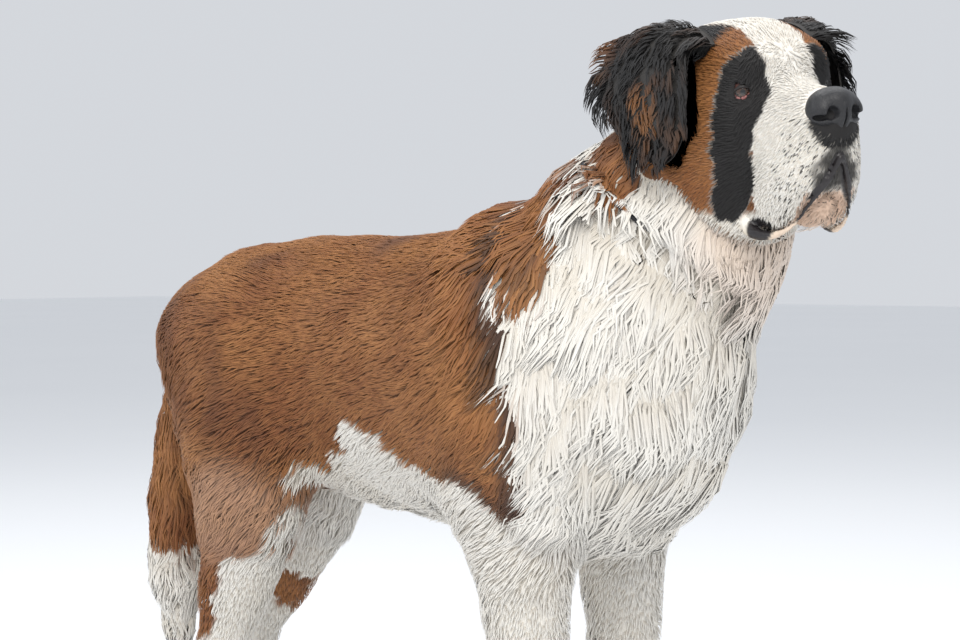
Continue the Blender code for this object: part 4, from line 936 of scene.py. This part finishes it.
def grow_tufts(roots, normals, lies, lengths, widths, heights, steps, wave, chance, field=None, skin_level=None):
    """Closed three-sided tufts, as an array of rings and tips.

    A tuft goes forward along its lie in steps. After each step it is put at its height over the skin,
    read from the field, and swings to the side by a sine of the way it has gone.
    """
    count = len(roots)
    place, lie, normal = roots.copy(), lies.copy(), normals.copy()
    phase = waves(roots, 31, 55.0) * 2.5 + chance.uniform(-0.5, 0.5, count)
    rings, facing = [], []
    previous = 0.0
    for k, (share, lift, wide) in enumerate(steps):
        if share > 0.0:
            place = place + lie * (lengths * (share - previous))[:, None]
            if field is not None:
                level, normal = field.sense(place)
                level = level + skin_level(place, normal)
                place = place - normal * level[:, None]
                lie = unit(lie - normal * (lie * normal).sum(axis=-1, keepdims=True))
        previous = share
        across = unit(np.cross(lie, normal))
        height = heights * lift if share > 0.0 else -np.minimum(heights * 0.3, 0.0015)
        swing = wave * np.sin(phase + share * 6.5) * (share > 0.0)
        spot = place + normal * height[:, None] + across * swing[:, None]
        if k == len(steps) - 1:
            tip = spot
            break
        half = (widths * wide * 0.5)[:, None]
        ring = np.stack([spot + across * half, spot + normal * half * 0.55, spot - across * half], axis=1)
        rings.append(ring)
        facing.append(np.stack([unit(normal + across * turn) for turn in (0.45, 0.0, -0.45)], axis=1))
    facing = np.concatenate([np.stack(facing, axis=1).reshape(count, -1, 3), normal[:, None]], axis=1)
    return np.stack(rings, axis=1), tip, facing


def gather(roots, rings, tips, every, pull, chance):
    """Draw tufts together into locks: each bends toward the nearest of the tufts that lead, more so
    toward its tip."""
    leaders = chance.permutation(len(roots))[::every]
    nearest = np.concatenate([
        leaders[np.argmin(((block[:, None] - roots[leaders][None]) ** 2).sum(axis=-1), axis=1)]
        for block in np.array_split(roots, max(1, len(roots) // 400))])
    levels = rings.shape[1]
    for level in range(1, levels):
        share = pull * (level / levels) ** 1.3
        middle = rings[:, level].mean(axis=1)
        rings[:, level] += ((middle[nearest] - middle) * share[:, None])[:, None]
    tips += (tips[nearest] - tips) * pull[:, None]
    return rings, tips


def tuft_mesh(name, rings, tips, facing, marks, spread, material):
    """One object for many tufts, with the bake map and the marks of each tuft."""
    count, levels = rings.shape[:2]
    per = levels * 3 + 1
    points = np.concatenate([rings.reshape(count, levels * 3, 3), tips[:, None]], axis=1).reshape(-1, 3)
    points[:, 2] = np.maximum(points[:, 2], SOLE)
    side = np.arange(3)
    nxt = (side + 1) % 3
    quads = np.concatenate([
        np.stack([level * 3 + side, level * 3 + 3 + side, level * 3 + 3 + nxt, level * 3 + nxt], axis=-1)
        for level in range(levels - 1)])
    last = (levels - 1) * 3
    tri = np.concatenate([[[0, 1, 2]], np.stack([last + side, np.full(3, per - 1), last + nxt], axis=-1)])
    starts = (np.arange(count) * per)[:, None, None]
    quads = (quads[None] + starts).reshape(-1, 4)
    tri = (tri[None] + starts).reshape(-1, 3)
    along = np.concatenate([np.repeat(np.arange(levels) / levels, 3), [1.0]])
    across = np.concatenate([np.tile([0.0, 0.5, 1.0], levels), [0.5]])
    hair = (across[None] + np.arange(count)[:, None] * 0.37 % 91.0).ravel()
    attributes = {"along": np.tile(along, count), "hair": hair}
    for key, values in marks.items():
        attributes[key] = np.repeat(values, per)
    made, loops = put_mesh(name, points, quads, tri, attributes, material)
    made.data.normals_split_custom_set_from_vertices(facing.reshape(-1, 3))
    patch = np.stack([np.concatenate([np.tile([0.0, 0.5, 1.0], levels), [0.5]]), along], axis=-1) * 0.003
    places = (spread[:, None] * 0.99 + patch[None]).reshape(-1, 2).astype(np.float32)
    layer = made.data.uv_layers.new(name="OFBake")
    layer.data.foreach_set("uv", places[loops].ravel())
    return made


def scatter(points, quads, density, count, chance):
    """Even random places on quads: a share of the whole weighted area is met at equal steps."""
    a, b, c, d = (points[quads[:, k]] for k in range(4))
    area = np.linalg.norm(np.cross(c - a, d - b), axis=-1) * 0.5
    total = np.cumsum(area * density)
    wanted = (np.arange(count) + chance.uniform(0.0, 1.0, count)) / count * total[-1]
    pick = np.minimum(np.searchsorted(total, wanted), len(quads) - 1)
    u, v = chance.uniform(0.0, 1.0, (2, count, 1))
    return (a[pick] * (1 - u) * (1 - v) + b[pick] * u * (1 - v) + c[pick] * u * v + d[pick] * (1 - u) * v), pick


LONG_STEPS = ((0.0, 0.0, 0.9), (0.30, 0.75, 1.0), (0.66, 1.0, 0.75), (1.0, 0.80, 0.0))
SHORT_STEPS = ((0.0, 0.0, 1.0), (0.50, 0.80, 0.85), (1.0, 1.0, 0.0))


def skin_level(points, normals):
    """How deep under the outer form the skin lies."""
    return coat_depth(points, normals, bpy.context.scene.dog_sizes)


class DOG_OT_skin(bpy.types.Operator):
    """Make the skin and the ears' leather"""

    bl_idname = "dog.skin"
    bl_label = "Skin"

    def execute(self, context):
        sizes = context.scene.dog_sizes
        EYES[:] = list(eye_places())
        outer = body_field()
        outer.settle()
        slope = outer.known[..., 1:]
        near = np.abs(outer.values) < 0.06
        grids = np.stack(np.meshgrid(*outer.axes, indexing="ij"), axis=-1)
        sunk = Field(outer.axes)
        sunk.values = outer.values.copy()
        sunk.values[near] += coat_depth(grids[near].astype(float), unit(slope[near]), sizes)
        sunk.values = np.maximum(sunk.values, SOLE - sunk.axes[2][None, None, :])
        for _, _, centre, radius, _ in EYES:
            sunk.carve(sunk.mass(centre, (radius + 0.0006,) * 3), 0.002)
        lip = smooth_rows([(*place, r, r, r) for place, r in zip(LIP_EDGE, LIP_RADII)], 0.008)
        for side in (1.0, -1.0):
            rows = lip.copy()
            rows[:, :3] = from_head(rows[:, :3] * (1.0, side, 1.0))
            sunk.blend(sunk.tube(rows, spacing=0.008), 0.005)
        points, quads = sunk.surface()
        normals = outer.slope(points)
        part = regions(points)
        marks = markings(points, part)
        # The coat's depth, which darkens the skin under it as painted shade.
        marks["deep"] = np.clip(coat_depth(points, normals, sizes) / 0.012, 0.0, 1.0)
        marks["pink"] = np.zeros(len(points))
        marks["tone"] = np.full(len(points), 0.5)
        del marks["speckle"]
        BODY.update(outer=outer, points=points, quads=quads)
        ears = []
        for side in (1.0, -1.0):
            grid, _, _, normal = ear_sheet(side)
            sheet, faces = closed_sheet(grid, normal, EAR_THICKNESS)
            ears.append((sheet, faces if side < 0.0 else faces[:, ::-1]))
        start = len(points)
        for sheet, faces in ears:
            points = np.concatenate([points, sheet])
            quads = np.concatenate([quads, faces + start])
            start += len(sheet)
        extra = start - len(marks["rust"])
        # The ears' leather: black, and a middle depth that darkens it a little as painted shade.
        for key, inner in (("rust", 0.0), ("black", 0.97), ("peach", 0.0), ("bare", 0.0), ("deep", 0.6), ("pink", 0.0), ("tone", 0.5)):
            marks[key] = np.concatenate([marks[key], np.full(extra, inner)])
        made, _ = put_mesh("skin", points, quads, None, marks, skin_material(context.scene.dog_colours))
        flesh = ["torso", "neck", "head", "lower_jaw", "ear_left", "ear_right", "tail"]
        for limb in ("foreleg", "hindleg", "forepaw", "hindpaw"):
            flesh += [limb + "_left", limb + "_right"]
        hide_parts(*flesh)
        print("skin", len(points), "points", len(quads), "quads")
        return {"FINISHED"}


def body_parts(points):
    """The number of the coat piece that each place belongs to."""
    x, y, z = points.T
    part = regions(points)
    number = np.where(y < 0.0, 0, 1)
    number = np.where(x + 0.45 * (z - 0.60) > 0.16, np.where(y < 0.0, 2, 3), number)
    number = np.where((z < 0.44) & (x > 0.05), 4, number)
    number = np.where((z < 0.56 - 0.2 * (x + 0.25)) & (x < -0.08), np.where(y < 0.0, 5, 6), number)
    number = np.where(part["tail"] > 0.5, 7, number)
    return np.where(part["face"] > 0.3, 8, number)


COAT_PIECES = (
    ("coat_trunk_right", 19500, 1.0), ("coat_trunk_left", 16500, 1.0), ("coat_ruff_right", 12400, 2.0),
    ("coat_ruff_left", 10400, 2.0), ("coat_forelegs", 16500, 1.0), ("coat_hindleg_right", 12500, 1.0),
    ("coat_hindleg_left", 9500, 1.0), ("coat_tail", 5200, 2.0), ("coat_head", 19800, 1.0),
)


class DOG_OT_coat(bpy.types.Operator):
    """Grow the coat of the body and head in tufts"""

    bl_idname = "dog.coat"
    bl_label = "Coat"

    def execute(self, context):
        sizes = context.scene.dog_sizes
        material = tuft_material(context.scene.dog_colours)
        BODY["coat"] = material
        chance = np.random.RandomState(sizes.seed)
        points, quads, outer = BODY["points"], BODY["quads"], BODY["outer"]
        middles = points[quads].mean(axis=1)
        numbers = body_parts(middles)
        eyes = np.array([centre + look * radius for _, _, centre, radius, look in eye_places()])
        for number, (name, count, kind) in enumerate(COAT_PIECES):
            mine = numbers == number
            density = np.ones(mine.sum())
            if name == "coat_head":
                density = 1.0 + regions(middles[mine])["muzzle"] * 0.8
            roots, pick = scatter(points, quads[mine], density, count, chance)
            normals = outer.slope(roots)
            part = regions(roots)
            bare = markings(roots, part)["bare"]
            keep = (bare < 0.4) & (roots[:, 2] > 0.006)
            near_eye = np.min(np.linalg.norm(roots[:, None] - eyes[None], axis=-1), axis=1)
            keep &= near_eye > 0.0125
            nose = np.linalg.norm(part["head"] - (0.176, 0.0, -0.016), axis=-1)
            keep &= nose > 0.030
            roots, normals = roots[keep], normals[keep]
            part = {key: values[keep] for key, values in part.items()}
            near_eye = near_eye[keep]
            depth = coat_depth(roots, normals, sizes)
            lies = coat_lie(roots, normals, part)
            total = len(roots)
            lengths = np.clip(depth * 2.4, 0.010, 0.075) * chance.uniform(0.75, 1.2, total)
            lengths *= 1.0 + 0.3 * part["ruff"] * (depth > 0.02)
            cheek = smooth_step(-part["head"][:, 0], -0.07, 0.0) * smooth_step(-part["head"][:, 2], -0.03, 0.08)
            short = (0.0105 - 0.0045 * part["muzzle"] + 0.014 * cheek) * chance.uniform(0.8, 1.2, total)
            lengths = np.where(part["face"] > 0.3, short, lengths)
            lengths = np.where(near_eye < 0.03, lengths * 0.6, lengths)
            way = unit(COLLAR_NORMAL)
            left_over = ((COLLAR_PLACE - roots) @ way) / np.minimum(lies @ way, -0.05)
            covers = (left_over > 0.0) & (left_over < lengths) & (roots[:, 1] < -0.03)
            covers &= (part["ruff"] > 0.3) & (roots[:, 2] < CORD_SHOWN_UNDER + 0.03)
            lengths = np.where(covers & (chance.uniform(0.0, 1.0, total) < 0.94), left_over + 0.004, lengths)
            lengths = np.maximum(lengths, 0.008)
            spots = roots + lies * (lengths * 0.55)[:, None]
            marks = markings(spots, regions(spots))
            speck = chance.uniform(0.0, 1.0, total) < marks.pop("speckle") * 0.26
            marks["black"] = np.where(speck, 0.88, marks["black"])
            lengths = np.where(speck, lengths * 0.7, lengths)
            shaggy = 0.70 + 0.26 * waves(roots, 41, 45.0)
            heights = depth * np.clip(shaggy * chance.uniform(0.75, 1.12, total), 0.30, 1.10)
            shown = (roots[:, 1] < -0.03) & (part["ruff"] > 0.3) & (roots[:, 2] < CORD_SHOWN_UNDER)
            furrow = smooth_step(np.abs((roots - COLLAR_PLACE) @ way), 0.008, 0.032)
            furrow = np.where(shown, furrow, 1.0)
            heights = heights * (0.24 + 0.76 * furrow)
            widths = 0.0021 + 0.0016 * part["ruff"] + 0.0007 * part["breech"] + 0.0006 * part["tail"]
            widths = np.where(part["face"] > 0.3, 0.00135, widths) * chance.uniform(0.75, 1.25, total)
            thigh = smooth_step(-roots[:, 0], 0.14, 0.24) * smooth_step(-np.abs(roots[:, 2] - 0.42), -0.12, -0.04)
            wave = np.clip(depth - 0.006, 0.0, 0.03) * 0.42 + 0.0030 * thigh * (1.0 - part["tail"])
            wave = wave * chance.uniform(0.4, 1.2, total)
            lengths = lengths * (1.0 + 0.35 * thigh)
            marks.pop("bare")
            marks["tone"] = chance.uniform(0.0, 1.0, total)
            rings, tips, facing = grow_tufts(
                roots, normals, lies, lengths, widths, heights, SHORT_STEPS if kind < 2.0 else LONG_STEPS,
                wave, chance, outer, skin_level)
            pull = np.clip(depth / 0.034, 0.15, 0.60) * (1.0 - 0.8 * part["face"]) * chance.uniform(0.6, 1.2, total)
            rings, tips = gather(roots, rings, tips, 15 if kind > 1.0 else 12, pull, chance)
            made = tuft_mesh(name, rings, tips, facing, marks, spread_out(roots, name), material)
            print(name, total)
        return {"FINISHED"}


def spread_out(roots, name):
    """Unroll the skin's own shape: the way along a part, and the angle round its middle line."""
    x, y, z = roots.T
    if "leg" in name or name == "coat_tail":
        along, first, second = z, x - np.interp(z, np.sort(z), x[np.argsort(z)]) * 0.0 - x.mean(), y - y.mean()
    elif name == "coat_head":
        head = to_head(roots)
        along, first, second = head[:, 0], head[:, 2] + 0.03, head[:, 1]
    else:
        along, first, second = x - z * 0.3, z - 0.60 - 0.3 * np.maximum(x - 0.1, 0.0), y
    angle = np.arctan2(second, first)
    low, high = angle.min(), angle.max()
    flat = np.stack([(angle - low) / (high - low), (along - along.min()) / (along.max() - along.min())], axis=-1)
    if name == "coat_forelegs":
        flat[:, 0] = flat[:, 0] * 0.49 + np.where(y > 0.0, 0.5, 0.0)
    return flat


class DOG_OT_ears(bpy.types.Operator):
    """Grow the long fur of the ears"""

    bl_idname = "dog.ears"
    bl_label = "Ear fur"

    def execute(self, context):
        chance = np.random.RandomState(context.scene.dog_sizes.seed + 1)
        all_rings, all_tips, all_roots, all_facing = [], [], [], []
        shares = []
        for side in (1.0, -1.0):
            grid, along, over, normal = ear_sheet(side)
            rows, columns = grid.shape[:2]
            for face, count in ((1.0, 4200), (-1.0, 1500)):
                spread = chance.uniform(0.0, 1.0, count)
                a = np.where(spread < 0.12, spread * 0.4, spread) * (rows - 1)
                b = chance.uniform(0.02, 1.0, count) * (columns - 1)
                i, j = np.round(a).astype(int), np.round(b).astype(int)
                t, v = a / (rows - 1), b / (columns - 1)
                root = grid[i, j] + over[i, j] * 0.003 * (a - i)[:, None] + along[i, j] * 0.003 * (b - j)[:, None]
                out = normal[i, j] * face
                root = root + out * EAR_THICKNESS * 0.3
                edge = np.maximum(smooth_step(np.abs(t - 0.5), 0.30, 0.5), smooth_step(v, 0.7, 1.0))
                lie = unit(along[i, j] + over[i, j] * ((t - 0.35) * 1.1)[:, None] + 0.25 * np.stack(
                    [waves(root, seed, 60.0) for seed in (6, 7, 8)], axis=-1))
                low = smooth_step(v, 0.55, 1.0) * smooth_step(-t, -0.75, -0.45)
                length = (0.020 + 0.015 * edge) * chance.uniform(0.7, 1.25, count) * (1.0 - 0.50 * low)
                height = (0.006 + 0.004 * edge) * chance.uniform(0.6, 1.3, count)
                width = chance.uniform(0.0022, 0.0036, count)
                lie[:, 2] -= 0.25 * edge
                rings, tips, facing = grow_tufts(
                    root, out, unit(lie), length, width, height, LONG_STEPS, np.full(count, 0.0018), chance)
                rings, tips = gather(root, rings, tips, 12, chance.uniform(0.3, 0.7, count), chance)
                all_rings.append(rings)
                all_tips.append(tips)
                all_facing.append(facing)
                all_roots.append(np.stack([t * 0.24 + (0.25 if face < 0 else 0.0) + (0.5 if side < 0 else 0.0), v], -1))
                rear = smooth_step(t, 0.72, 0.95) * smooth_step(-v, -0.62, -0.30)
                middle = smooth_step(0.16 - np.hypot(t - 0.45, v - 0.66), -0.05, 0.08)
                shares.append(np.clip(np.maximum(rear, middle * 0.75) + 0.16 * waves(root, 51, 90.0), 0.0, 1.0))
        rings, tips = np.concatenate(all_rings), np.concatenate(all_tips)
        brown = np.concatenate(shares)
        marks = {"rust": np.ones(len(tips)), "black": 1.0 - 0.68 * brown, "peach": np.zeros(len(tips)),
                 "tone": chance.uniform(0.0, 0.6, len(tips))}
        made = tuft_mesh(
            "coat_ears", rings, tips, np.concatenate(all_facing), marks, np.concatenate(all_roots), BODY["coat"])
        return {"FINISHED"}


def eye_material():
    """A wet eye: black pupil, dark amber iris with fine rays, and a reddish white."""
    nodes = Nodes("eye")
    angle = nodes.attribute("angle")
    rays = nodes.noise(900.0, 2.0)
    iris = nodes.mix(rays, (0.020, 0.008, 0.004), (0.075, 0.030, 0.011))
    colour = nodes.mix(angle.over(0.19, 0.23), (0.002, 0.002, 0.002), iris)
    colour = nodes.mix(angle.over(0.50, 0.56), colour, (0.012, 0.006, 0.005))
    colour = nodes.mix(angle.over(0.60, 0.72), colour, (0.16, 0.075, 0.065))
    return nodes.finish(base_color=colour, roughness=0.08, coat_weight=1.0, coat_roughness=0.02)


def plain_material(name, colour, roughness, scale, depth):
    """A finish of one colour with a fine grain and small changes of tone."""
    nodes = Nodes(name)
    grain = nodes.noise(scale)
    dark = tuple(part * 0.55 for part in colour)
    nodes.bump(grain, 0.5, depth)
    return nodes.finish(base_color=nodes.mix(grain, dark, tuple(colour)), roughness=roughness + grain * 0.15)


class DOG_OT_eyes(bpy.types.Operator):
    """Make the eyeballs, the rims of the lids and the haws"""

    bl_idname = "dog.eyes"
    bl_label = "Eyes and lids"

    def execute(self, context):
        sizes, palette = context.scene.dog_sizes, context.scene.dog_colours
        glass = eye_material()
        rim = plain_material("lid_rim", (0.022, 0.017, 0.016), 0.35, 700.0, 0.0003)
        haw = plain_material("haw", tuple(palette.lip), 0.18, 500.0, 0.0002)
        up = HEAD_TURN @ np.array((0.0, 0.0, 1.0))
        for side, name, centre, radius, look in eye_places():
            outer = unit(np.cross(look, up)) * -side
            above = unit(up - look * (up @ look))
            polar = np.linspace(0.0, math.pi, 25)[:, None]
            turn = np.linspace(0.0, TAU, 33)[None, :-1]
            ring = np.cos(turn)[..., None] * outer + np.sin(turn)[..., None] * above
            ball = centre + radius * (np.cos(polar)[..., None] * look + np.sin(polar)[..., None] * ring)
            angles = np.repeat(polar.ravel(), 32)
            faces = grid_faces(25, 32, wrap=True, flip=side < 0.0)
            made, _ = put_mesh(name + "_ball", ball.reshape(-1, 3), faces, None, {"angle": angles}, glass)
            merge(made)
            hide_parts(name)
            t = np.linspace(-1.0, 1.0, 25)
            parts = {"rims": [], "haw": []}
            lids = (("rims", 0.44, 0.05, 1.14, 1.2, 1.0), ("rims", -0.66, -0.22, 1.04, 1.0, 1.0), ("haw", -0.52, -0.20, 0.98, 1.2, 0.985))
            for kind, middle, droop, reach, thick, sit in lids:
                arch = middle * (1.0 - t * t) + droop * t * (1.0 - t * t) - 0.10 * t
                way = unit(look + outer * (reach * t)[:, None] + above * arch[:, None])
                path = centre + way * (radius + 0.0006) * sit
                width = sizes.eye_rim * 0.5 * thick * (1.15 - 0.55 * np.abs(t))
                parts[kind].append(closed_tube(path, width, 10, look))
            for kind, material, slot in (("rims", rim, "nose_leather"), ("haw", haw, "nose_leather")):
                points, quads, caps = joined(parts[kind])
                made, _ = put_mesh(name + "_" + kind, points, quads, caps, None, material)
                fix_normals(made)
        return {"FINISHED"}


def merge(thing):
    """Join points that lie on each other, and turn the faces outwards."""
    import bmesh
    shape = bmesh.new()
    shape.from_mesh(thing.data)
    bmesh.ops.remove_doubles(shape, verts=shape.verts, dist=1e-6)
    bmesh.ops.dissolve_degenerate(shape, edges=shape.edges, dist=1e-6)
    bmesh.ops.recalc_face_normals(shape, faces=shape.faces)
    shape.to_mesh(thing.data)
    shape.free()


fix_normals = merge


class DOG_OT_nose(bpy.types.Operator):
    """Make the leather of the nose with its nostrils"""

    bl_idname = "dog.nose"
    bl_label = "Nose"

    def execute(self, context):
        centre = from_head((0.176, 0.0, -0.016))
        field = Field([spaced(centre[k] - 0.048, centre[k] + 0.048, 0.00115) for k in range(3)])
        for place, radii, soft in both_sides(NOSE_MASSES):
            field.blend(field.mass(from_head(place), radii, HEAD_TURN), soft)
        for place, radii in NOSTRILS:
            for side in ((1.0, -1.0) if place[1] > 0.0 else (1.0,)):
                spot = from_head(np.array(place) * (1.0, side, 1.0))
                field.carve(field.mass(spot, radii, HEAD_TURN), 0.003)
        points, quads = field.surface()
        nodes = Nodes("nose_leather")
        cells = nodes.value("ShaderNodeTexVoronoi", {"feature": "DISTANCE_TO_EDGE"}, {
            "Vector": nodes.value("ShaderNodeTexCoord", {}, {}, "Object"), "Scale": 620.0}, "Distance")
        groove = cells.over(0.0, 0.16)
        tone = nodes.noise(60.0)
        leather = tuple(context.scene.dog_colours.leather)
        # Painted shade: the grooves between the leather's cells are darkened, mixed with a random tone.
        dark = tuple(part * 0.35 for part in leather)
        nodes.bump(groove, 0.55, 0.0005)
        material = nodes.finish(
            base_color=nodes.mix((groove * 0.5 + tone * 0.5).clamp(), dark, leather),
            roughness=0.52 - tone * 0.2, coat_weight=0.12, coat_roughness=0.35)
        made, _ = put_mesh("nose_pad", points, quads, None, None, material)
        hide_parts("nose")
        return {"FINISHED"}


class DOG_OT_claws(bpy.types.Operator):
    """Make the claws of the four paws"""

    bl_idname = "dog.claws"
    bl_label = "Claws"

    def execute(self, context):
        parts = []
        for _, sideways, middle, _ in LEGS:
            for toe in (-1.5, -0.5, 0.5, 1.5):
                ahead = middle + 0.046 - 0.006 * toe * toe
                start = np.array((ahead + 0.010, sideways + toe * TOE_SPACING, 0.0245))
                t = np.linspace(0.0, 1.0, 9)
                bend = np.stack([CLAW_LENGTH * 1.15 * np.sin(t * 1.25) / math.sin(1.25), t * 0.0, -0.0205 * t**1.9], axis=-1)
                parts.append(closed_tube(start + bend, 0.0046 * (1.0 - t**2 * 0.88), 10))
        points, quads, caps = joined(parts)
        material = plain_material("claw_horn", (0.10, 0.085, 0.075), 0.32, 260.0, 0.0003)
        made, _ = put_mesh("claws", points, quads, caps, None, material)
        fix_normals(made)
        return {"FINISHED"}


class DOG_OT_collar(bpy.types.Operator):
    """Lay a twisted cord collar in the ruff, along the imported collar"""

    bl_idname = "dog.collar"
    bl_label = "Collar"

    def execute(self, context):
        solid = bpy.data.objects["collar"].data
        places = np.empty(len(solid.vertices) * 3)
        solid.vertices.foreach_get("co", places)
        places = places.reshape(-1, 3) + ORIGIN
        normal = unit(COLLAR_NORMAL)
        first = unit(np.cross(normal, (0.0, 1.0, 0.0)))
        second = np.cross(normal, first)
        turn = np.arctan2((places - COLLAR_PLACE) @ second, (places - COLLAR_PLACE) @ first)
        order = np.round((turn + math.pi) / TAU * 30.0) % 30
        middles = np.stack([places[order == k].mean(axis=0) for k in range(30)])
        print("cord", BODY["outer"].read(middles).round(3).tolist())
        wanted = np.linspace(0.0, 30.0, 361)[:-1]
        looped = np.concatenate([middles[-2:], middles, middles[:3]])
        path = np.stack([np.interp(wanted, np.arange(-2, 33), looped[:, k]) for k in range(3)], axis=-1)
        for _ in range(12):
            path = (np.roll(path, 1, axis=0) + path * 2.0 + np.roll(path, -1, axis=0)) / 4.0
        parts = []
        radius = context.scene.dog_sizes.cord
        ahead = unit(np.roll(path, -1, axis=0) - np.roll(path, 1, axis=0))
        over = unit(path - COLLAR_PLACE)
        across = np.cross(ahead, over)
        for strand in range(3):
            angle = (np.arange(360) / 360.0 * 60.0 + strand / 3.0) * TAU
            centre = path + (over * np.cos(angle)[:, None] + across * np.sin(angle)[:, None]) * radius * 0.46
            rings = tube_points(centre, radius * 0.52, 8, normal, closed=True)
            quads = grid_faces(360, 8, wrap=True)
            index = np.arange(8)
            close = np.stack([359 * 8 + index, 359 * 8 + np.roll(index, -1), np.roll(index, -1), index], axis=-1)
            parts.append((rings.reshape(-1, 3), np.concatenate([quads, close]), np.zeros((0, 3), dtype=int)))
        points, quads, none = joined(parts)
        material = plain_material("collar_cord", (0.030, 0.030, 0.034), 0.55, 1500.0, 0.0002)
        made, _ = put_mesh("collar_cord", points, quads, none, None, material)
        fix_normals(made)
        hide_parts("collar")
        return {"FINISHED"}


def studio_light(name, place, target, size, power, colour):
    """A large soft lamp that looks at a place."""
    lamp = bpy.data.lights.new(name, "AREA")
    lamp.shape = "SQUARE"
    lamp.size = size
    lamp.energy = power
    lamp.color = colour
    made = bpy.data.objects.new(name, lamp)
    made.location = place
    made.rotation_euler = (Vector(target) - Vector(place)).to_track_quat("-Z", "Y").to_euler()
    bpy.context.scene.collection.objects.link(made)


CAMERA_TURN = math.radians(35.0)
CAMERA_AWAY = 2.5
CAMERA_ASIDE = 0.0644
CAMERA_HEIGHT = 0.716
HORIZON_ROW = 265.0
FOCAL_PIXELS = 1940.0
PICTURE = (960.0, 640.0)


class DOG_OT_stage(bpy.types.Operator):
    """Set up the camera, the floor and the soft light"""

    bl_idname = "dog.stage"
    bl_label = "Stage"

    def execute(self, context):
        side = Vector((math.cos(CAMERA_TURN), math.sin(CAMERA_TURN), 0.0))
        level = Vector((-math.sin(CAMERA_TURN), math.cos(CAMERA_TURN), 0.0))
        dip = math.atan((PICTURE[1] / 2.0 - HORIZON_ROW) / FOCAL_PIXELS)
        look = level * math.cos(dip) + Vector((0.0, 0.0, -math.sin(dip)))
        lens = bpy.data.cameras.new("camera")
        lens.sensor_width = 36.0
        lens.lens = FOCAL_PIXELS / PICTURE[0] * 36.0
        camera = bpy.data.objects.new("camera", lens)
        place = level * -CAMERA_AWAY + side * CAMERA_ASIDE + Vector((0.0, 0.0, CAMERA_HEIGHT))
        up = side.cross(look)
        turn = Matrix((side, up, -look)).transposed().to_4x4()
        camera.matrix_world = Matrix.Translation(place - Vector(ORIGIN)) @ turn
        context.scene.collection.objects.link(camera)
        context.scene.camera = camera

        mesh = bpy.data.meshes.new("floor")
        reach = 30.0
        mesh.from_pydata([(-reach, -reach, 0), (reach, -reach, 0), (reach, reach, 0), (-reach, reach, 0)], [], [(0, 1, 2, 3)])
        floor = bpy.data.objects.new("floor", mesh)
        context.scene.collection.objects.link(floor)
        nodes = Nodes("floor_paint")
        pale = tuple(context.scene.dog_colours.floor)
        mesh.materials.append(nodes.finish(base_color=nodes.mix(nodes.noise(0.6) * 0.15, pale, (0.7, 0.72, 0.76)), roughness=0.9))

        world = bpy.data.worlds.new("sky")
        world.use_nodes = True
        sky = world.node_tree.nodes["Background"]
        sky.inputs["Color"].default_value = (0.88, 0.91, 0.96, 1.0)
        sky.inputs["Strength"].default_value = 0.75
        context.scene.world = world
        studio_light("key", (1.8, -2.8, 3.6), (0.0, 0.0, 0.5), 2.6, 120.0, (1.0, 0.97, 0.93))
        studio_light("fill", (-3.0, -2.2, 2.4), (0.0, 0.0, 0.5), 3.0, 40.0, (0.92, 0.96, 1.0))
        studio_light("top", (-0.3, 1.2, 4.2), (0.0, 0.0, 0.5), 3.0, 60.0, (1.0, 1.0, 1.0))
        context.scene.view_settings.view_transform = "Standard"
        return {"FINISHED"}


OPERATORS = (
    DOG_OT_skin, DOG_OT_coat, DOG_OT_ears, DOG_OT_eyes, DOG_OT_nose, DOG_OT_claws, DOG_OT_collar, DOG_OT_stage,
)


class DOG_PT_panel(bpy.types.Panel):
    """The steps of the model, in their order"""

    bl_idname = "DOG_PT_panel"
    bl_label = "Saint Bernard"
    bl_space_type = "VIEW_3D"
    bl_region_type = "UI"
    bl_category = "Dog"

    def draw(self, context):
        for group in (context.scene.dog_sizes, context.scene.dog_colours):
            for name in group.__annotations__:
                self.layout.prop(group, name)
        for operator in OPERATORS:
            self.layout.operator(operator.bl_idname)


CLASSES = (Measures, Colours, *OPERATORS, DOG_PT_panel)


def register():
    for kind in CLASSES:
        bpy.utils.register_class(kind)
    bpy.types.Scene.dog_sizes = bpy.props.PointerProperty(type=Measures)
    bpy.types.Scene.dog_colours = bpy.props.PointerProperty(type=Colours)


def unregister():
    del bpy.types.Scene.dog_colours
    del bpy.types.Scene.dog_sizes
    for kind in reversed(CLASSES):
        bpy.utils.unregister_class(kind)


def main():
    register()
    for operator in OPERATORS:
        group, name = operator.bl_idname.split(".")
        getattr(getattr(bpy.ops, group), name)()


if __name__ == "__main__":
    main()
